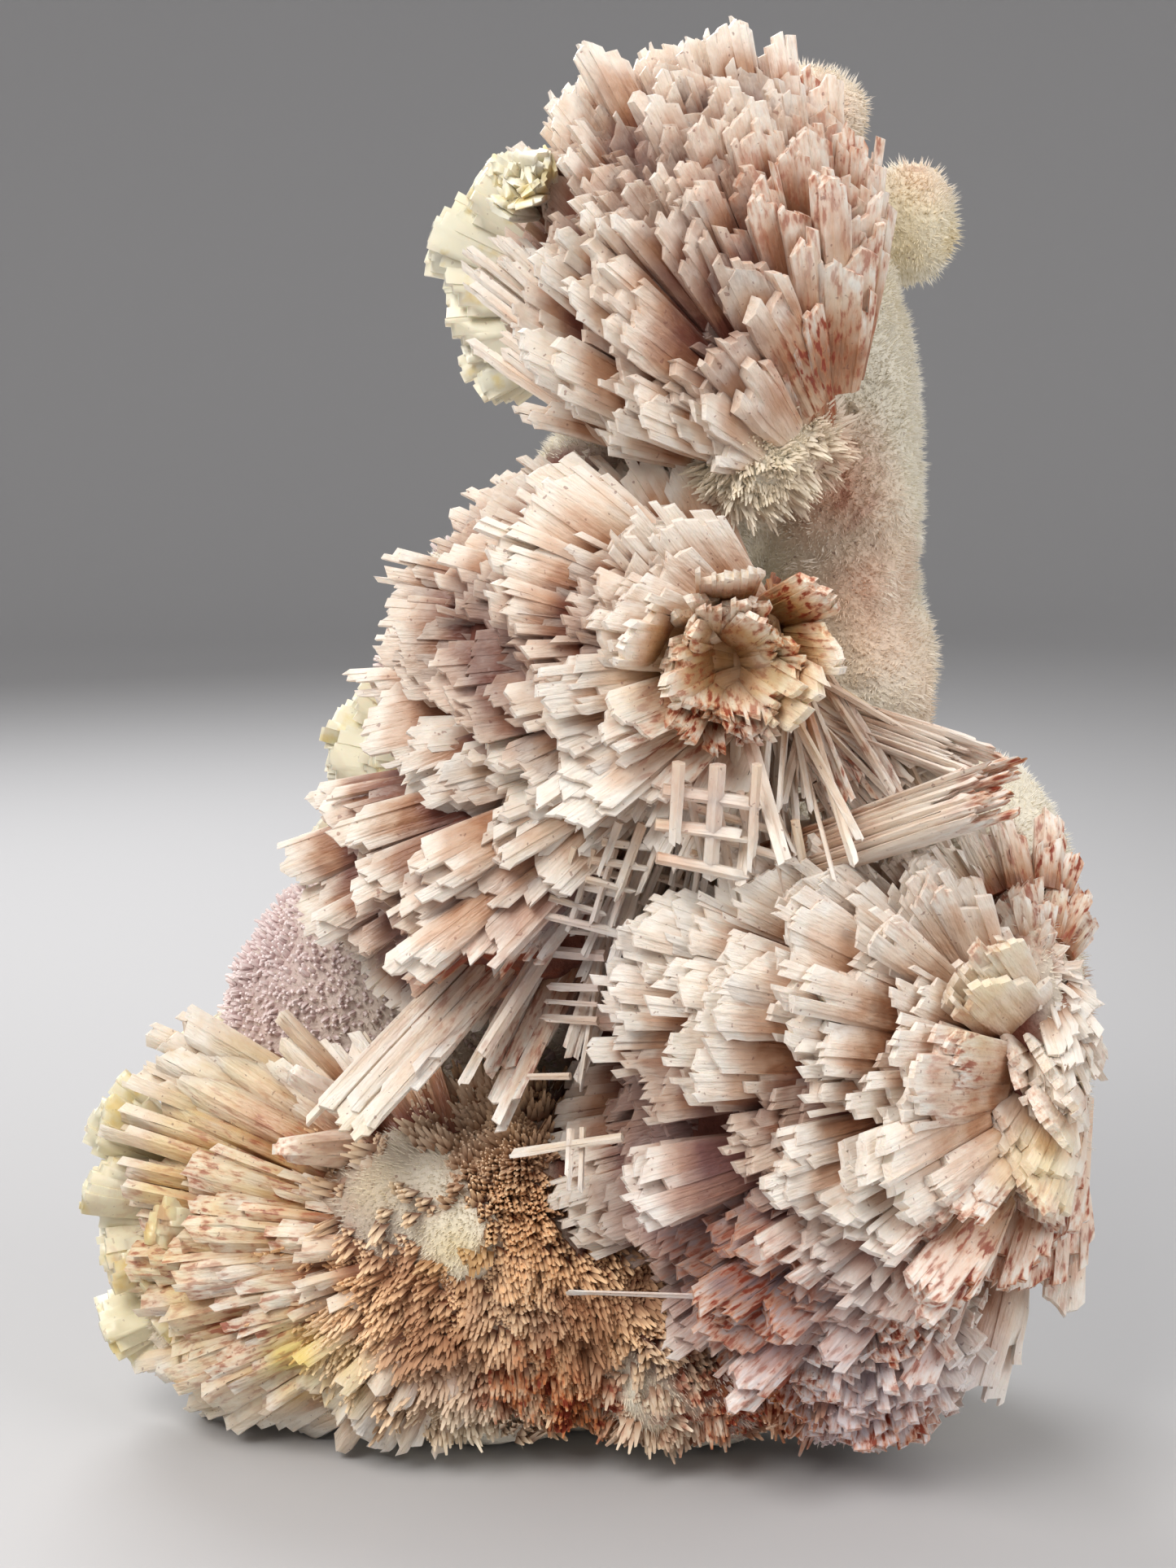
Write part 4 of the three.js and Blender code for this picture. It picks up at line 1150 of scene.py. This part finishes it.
def roughened(core):
    """Swells and dents the skin a little, and cuts it off where it rests. Gives its places and normals."""
    mesh = core.data
    spots = vertex_values(mesh, "co")
    normals = vertex_values(mesh, "normal")
    swell = np.array([noise.fractal(Vector(p * 160), 0.8, 2.1, 4) for p in spots])
    raised = glow(spots / MM + MIDDLE, PATCHES + TUFTS)
    spots += normals * (swell * 0.0008 + 0.0018 * np.clip(raised, 0, 2))[:, None]
    spots[:, 2] = np.maximum(spots[:, 2], 0.0)
    mesh.vertices.foreach_set("co", spots.astype(np.float32).ravel())
    mesh.update()
    return spots / MM + MIDDLE, normals


def within_sprays(places):
    """How far inside a spray's reach each place is, from 0 to 1."""
    inside = np.zeros(len(places))
    for spray in SPRAYS.values():
        middle, radii = (np.array(each, float) for each in spray["reach"])
        away = places - middle
        out = np.linalg.norm(away / radii, axis=1)
        tilt = unit(away) @ unit(spray["axis"])
        covered = tilt > math.cos(math.radians(spray["spread"] + 8))
        inside = np.maximum(inside, covered * np.clip((1.0 - out) / 0.12, 0, 1))
    return inside


def colour(label, description, default):
    """A colour that a user may change."""
    return bpy.props.FloatVectorProperty(name=label, description=description, default=default, size=3,
                                         subtype="COLOR", min=0, max=1)


class MordeniteColours(bpy.types.PropertyGroup):
    """Colours of the crystals and of what stains them."""
    milk: colour("Milk", "Broken ends and streaks of the plates", (0.94, 0.86, 0.77))
    cream: colour("Cream", "Flats of the pale plates", (0.86, 0.70, 0.59))
    honey: colour("Honey", "Flats of the warm plates", (0.75, 0.56, 0.37))
    peach: colour("Peach", "Blush of the plates, the felt and the needles", (0.80, 0.54, 0.40))
    dusk: colour("Dusk", "Clouds on the plates", (0.62, 0.43, 0.33))
    lilac: colour("Lilac", "Tint of the heel", (0.76, 0.66, 0.71))
    haze: colour("Haze", "Film over the heel's plates", (0.66, 0.57, 0.67))
    # Painted shade where a plate goes into its spray; also the needles' random darker patches.
    brown_and_shade: colour("Brown", "Where the plates go down into a spray", (0.46, 0.23, 0.12))
    # Painted shade in a spray's depths, on the plates and on the bare ground there.
    shade_mauve: colour("Mauve", "Depths of a spray and bare ground", (0.18, 0.055, 0.035))
    rust: colour("Rust", "Middle of a stain", (0.30, 0.05, 0.02))
    orange: colour("Orange", "Rim of a stain", (0.62, 0.22, 0.07))
    ochre: colour("Ochre", "Yellow tint", (0.80, 0.60, 0.20))
    speck: colour("Speck", "Fine dark specks", (0.20, 0.07, 0.05))
    pale: colour("Pale", "Needles with pale tips", (0.93, 0.83, 0.66))
    felt_root: colour("Felt root", "Roots of the felt", (0.84, 0.78, 0.64))
    felt_tip: colour("Felt tip", "Tips of the felt", (0.95, 0.92, 0.84))
    # Partly the velvet's own dark colour, partly painted shade down among its needles.
    velvet_root: colour("Velvet root", "Roots of the velvet", (0.17, 0.05, 0.02))
    velvet_tip: colour("Velvet tip", "Tips of the velvet", (1.0, 0.69, 0.41))
    druse_root: colour("Druse root", "Roots of the druse", (0.60, 0.44, 0.43))
    druse_tip: colour("Druse tip", "Tips of the druse", (0.92, 0.81, 0.80))
    stilbite: colour("Stilbite", "Deeper parts of the stilbite", (0.88, 0.79, 0.56))
    stilbite_pale: colour("Pale stilbite", "Paler parts of the stilbite", (0.96, 0.91, 0.77))


class MordenitePlates(bpy.types.PropertyGroup):
    """Sizes of the plates' broken ends."""
    tooth_pitch: bpy.props.FloatProperty(
        name="Tooth pitch", description="Spacing of the teeth of a plate's end, in mm",
        default=0.8, min=0.4, max=3)
    tooth: bpy.props.FloatProperty(
        name="Tooth depth", description="Depth of the teeth of a plate's end, in mm",
        default=1.0, min=0, max=3)


def needle_length(label, description, default):
    """A length in metres that a user may change."""
    return bpy.props.FloatProperty(name=label, description=description, default=default,
                                   unit="LENGTH", min=0)


class MordeniteFibres(bpy.types.PropertyGroup):
    """Sizes of the felt, the velvet and the druse."""
    felt: needle_length("Felt length", "Length of the white felt's needles", 0.0012)
    velvet: needle_length("Velvet length", "Length of the brown velvet's needles", 0.0034)
    druse: needle_length("Druse length", "Length of the druse's short crystals", 0.0012)


class MORDENITE_OT_ground(bpy.types.Operator):
    """Builds the skin of lumps and hearts that everything grows on"""
    bl_idname = "mordenite.ground"
    bl_label = "Ground"

    def execute(self, context):
        core = core_mesh()
        places, normals = roughened(core)
        # Painted shade: the ground far inside a spray, and in the bare places, is painted dark; above 24 mm
        # no fibres grow there.
        hollow = within_sprays(places) * (1 - glow(places, FELTED_GROUND))
        hollow = hollow * np.clip((14 - places[:, 1]) / 5, 0, 1)
        hollow = np.maximum(hollow, glow(places, BARE_GROUND))
        resting = (places[:, 2] < 0.6) | ((places[:, 2] < 3) & (normals[:, 2] < -0.6))
        patches = glow(places, PATCHES)
        ragged = np.array([noise.noise(Vector(p * 0.4)) + noise.noise(Vector(p * 1.1)) for p in places])
        patches *= np.clip(0.9 + 1.2 * ragged, 0, 1.5)
        velvet = glow(places, VELVET) * (1 - np.clip(patches * 1.6, 0, 1))
        druse = glow(places, DRUSE) * (1 - velvet)
        felt = np.clip(1 - velvet * 1.5 - druse * 0.8, 0, 1) * np.where(places[:, 1] > 12, 0.26, 0.8)
        top = places[:, 2] > FELT_SPLIT
        felt *= np.where(patches > 0.1, 1, 0.5 + 0.5 * np.clip((places[:, 2] - 60) / 25, 0, 1))
        open_ground = (1 - hollow * (places[:, 2] > 24)) * (1 - resting)
        comb = 1.5 * unit(places - np.array(VELVET_MIDDLE, float)) * np.maximum(velvet, patches)[:, None]
        comb[:, 2] = np.maximum(comb[:, 2], 0.5 - 0.12 * places[:, 2] - np.minimum(normals[:, 2], 0))
        stored = {"velvet": velvet * open_ground, "druse": druse * open_ground,
                  "felt_top": felt * open_ground * top, "felt_low": felt * open_ground * ~top,
                  "comb_x": comb[:, 0], "comb_y": comb[:, 1], "comb_z": comb[:, 2], "hollow": hollow}
        for name, spots in (("pale", PALES), ("tuft", TUFTS), ("blush", BLUSHES), ("lilac", LILACS),
                            ("stain", STAINS), ("yellow", YELLOWS)):
            stored[name] = glow(places, spots)
        for name, values in stored.items():
            attribute(core.data, name, "FLOAT", values)
        core.data.materials.clear()
        core.data.materials.append(core_material())
        core.data.shade_smooth()
        place_piece(core, "mordenite_felt", MASS_NODE)
        return {"FINISHED"}


class MORDENITE_OT_plates(bpy.types.Operator):
    """Builds the plates of every spray, and the foot's rods"""
    bl_idname = "mordenite.plates"
    bl_label = "Plates"

    def execute(self, context):
        sizes = context.scene.mordenite_plates
        material = plate_material()
        for name, plates in all_plates().items():
            usual = (name + "_plates", sizes.tooth_pitch, dict(tooth=sizes.tooth))
            label, pitch, finish = FINISHES.get(name, usual)
            piece = plates_mesh(label, plates, pitch, **finish)
            piece.data.materials.append(material)
            place_piece(piece, "mordenite_plates")
        return {"FINISHED"}


class MORDENITE_OT_rods(bpy.types.Operator):
    """Builds the thin rods, needles and square frames between the sprays"""
    bl_idname = "mordenite.rods"
    bl_label = "Rods and frames"

    def execute(self, context):
        piece = plates_mesh("thin_rods", all_rods(), 0.6, tooth=0.5, crown=4, rust=0.35)
        piece.data.materials.append(bpy.data.materials["milky_mordenite"])
        place_piece(piece, "mordenite_plates")
        return {"FINISHED"}


class MORDENITE_OT_stilbite(bpy.types.Operator):
    """Builds the stilbite sheaves on the left rim"""
    bl_idname = "mordenite.stilbite"
    bl_label = "Stilbite"

    def execute(self, context):
        material = stilbite_material()
        groups = [(node + "_sheaves", spec, order, [node])
                  for order, (node, spec) in enumerate(STILBITES.items())]
        for name, spec, order, nodes in [*groups, ("stilbite_beads", BEADS, BEADS_ORDER, [])]:
            plates = sheaf_plates(spec, order)
            piece = plates_mesh(name, plates, 1.0, tooth=0.2, crown=2.0, sharp=75)
            piece.data.materials.append(material)
            place_piece(piece, "stilbite", *nodes)
        return {"FINISHED"}


class MORDENITE_OT_fibres(bpy.types.Operator):
    """Covers the lumps with felt, velvet and druse"""
    bl_idname = "mordenite.fibres"
    bl_label = "Felt, velvet and druse"

    def execute(self, context):
        sizes = context.scene.mordenite_fibres
        core = bpy.data.objects["mordenite_ground"]
        trees = {"single": needle_tree(TUFT[:1]), "tufts": needle_tree(TUFT)}
        finishes = {
            "felt": (fibre_material("white_felt", "felt", 0.0, 0.6), "mordenite_felt"),
            # The velvet's needles are dark at the root: partly their own colour, partly painted shade among
            # them.
            "velvet": (fibre_material("brown_velvet", "velvet", 0.2, 0.85, 0.85), "mordenite_velvet"),
            "druse": (fibre_material("mauve_druse", "druse", 0.0, 0.8), "mordenite_plates"),
        }
        for name, (cover, kind, times, width, density, sides, blunt, least, stand, seed) in FIBRES.items():
            material, slot = finishes[kind]
            piece = grown(name, core, trees[stand], Cover=cover, Length=times * getattr(sizes, kind),
                          Width=width, Density=density, Sides=sides, Blunt=blunt, Least=least, Seed=seed,
                          Material=material)
            place_piece(piece, slot)
        return {"FINISHED"}


def bowl_mesh():
    """A pale floor that curves up all round, so that it has no edge behind the specimen."""
    floor, rim, height = FLOOR
    sides = FLOOR_SIDES
    profile = [(0, 0)] + [(floor + rim * math.sin(a), rim - rim * math.cos(a))
                          for a in np.linspace(0, math.pi / 2, 12)] + [(floor + rim, height)]
    places = [(r * math.cos(t), r * math.sin(t), z) for r, z in profile[1:]
              for t in np.linspace(0, 2 * math.pi, sides, endpoint=False)]
    faces = []
    for ring in range(len(profile) - 2):
        for k in range(sides):
            after = (k + 1) % sides
            near, far = ring * sides, (ring + 1) * sides
            faces.append((near + k, far + k, far + after, near + after))
    faces.append(tuple(range(sides)))
    mesh = bpy.data.meshes.new("floor")
    mesh.from_pydata(places, [], faces)
    mesh.shade_smooth()
    return mesh


class MORDENITE_OT_stage(bpy.types.Operator):
    """Builds the floor, the lights and the camera"""
    bl_idname = "mordenite.stage"
    bl_label = "Stage"

    def execute(self, context):
        scene = context.scene
        floor = link(bpy.data.objects.new("floor", bowl_mesh()))
        material, _, surface = shader("pale_floor")
        surface.inputs["Base Color"].default_value = rgb(*FLOOR_COLOUR)
        surface.inputs["Roughness"].default_value = 0.8
        floor.data.materials.append(material)
        world = bpy.data.worlds.new("studio")
        world.use_nodes = True
        sky = world.node_tree.nodes["Background"].inputs
        sky[0].default_value = rgb(*SKY_COLOUR)
        sky[1].default_value = SKY_STRENGTH
        scene.world = world
        for name, (place, size, power, tint) in LAMPS.items():
            data = bpy.data.lights.new(name, "AREA")
            data.size, data.energy, data.color = size, power, tint
            lamp = link(bpy.data.objects.new(name, data))
            lamp.location = place
            way = Vector(LAMP_TARGET) - Vector(place)
            lamp.rotation_euler = way.to_track_quat("-Z", "Y").to_euler()
        data = bpy.data.cameras.new("camera")
        data.lens = data.sensor_width * PHOTO_FOCAL / PHOTO_SIZE[1]
        data.clip_start, data.clip_end = 0.01, 10
        camera = link(bpy.data.objects.new("camera", data))
        camera.location = metres(CAMERA_PLACE)
        camera.rotation_euler = (math.radians(CAMERA_DEGREES), 0, 0)
        scene.camera = camera
        scene.view_settings.view_transform = "Standard"
        return {"FINISHED"}


class MORDENITE_PT_panel(bpy.types.Panel):
    """Lists the steps that build the specimen"""
    bl_label = "Mordenite specimen"
    bl_idname = "MORDENITE_PT_panel"
    bl_space_type = "VIEW_3D"
    bl_region_type = "UI"
    bl_category = "Mordenite"

    def draw(self, context):
        layout = self.layout
        for step in STEPS:
            layout.operator(step.bl_idname)
        scene = context.scene
        for group in (scene.mordenite_plates, scene.mordenite_fibres, scene.mordenite_colours):
            for name in group.bl_rna.properties.keys():
                if name not in ("rna_type", "name"):
                    layout.prop(group, name)


STEPS = (MORDENITE_OT_stage, MORDENITE_OT_ground, MORDENITE_OT_plates, MORDENITE_OT_rods,
         MORDENITE_OT_stilbite, MORDENITE_OT_fibres)
CLASSES = (MordeniteColours, MordenitePlates, MordeniteFibres, *STEPS, MORDENITE_PT_panel)


def register():
    """Adds the classes, and the values that a user may change."""
    for each in CLASSES:
        bpy.utils.register_class(each)
    bpy.types.Scene.mordenite_plates = bpy.props.PointerProperty(type=MordenitePlates)
    bpy.types.Scene.mordenite_fibres = bpy.props.PointerProperty(type=MordeniteFibres)
    bpy.types.Scene.mordenite_colours = bpy.props.PointerProperty(type=MordeniteColours)


def unregister():
    """Removes the classes and their values."""
    del bpy.types.Scene.mordenite_colours
    del bpy.types.Scene.mordenite_fibres
    del bpy.types.Scene.mordenite_plates
    for each in reversed(CLASSES):
        bpy.utils.unregister_class(each)


def main():
    """Builds the scene."""
    register()
    bpy.ops.mordenite.stage()
    bpy.ops.mordenite.ground()
    bpy.ops.mordenite.plates()
    bpy.ops.mordenite.rods()
    bpy.ops.mordenite.stilbite()
    bpy.ops.mordenite.fibres()


if __name__ == "__main__":
    main()
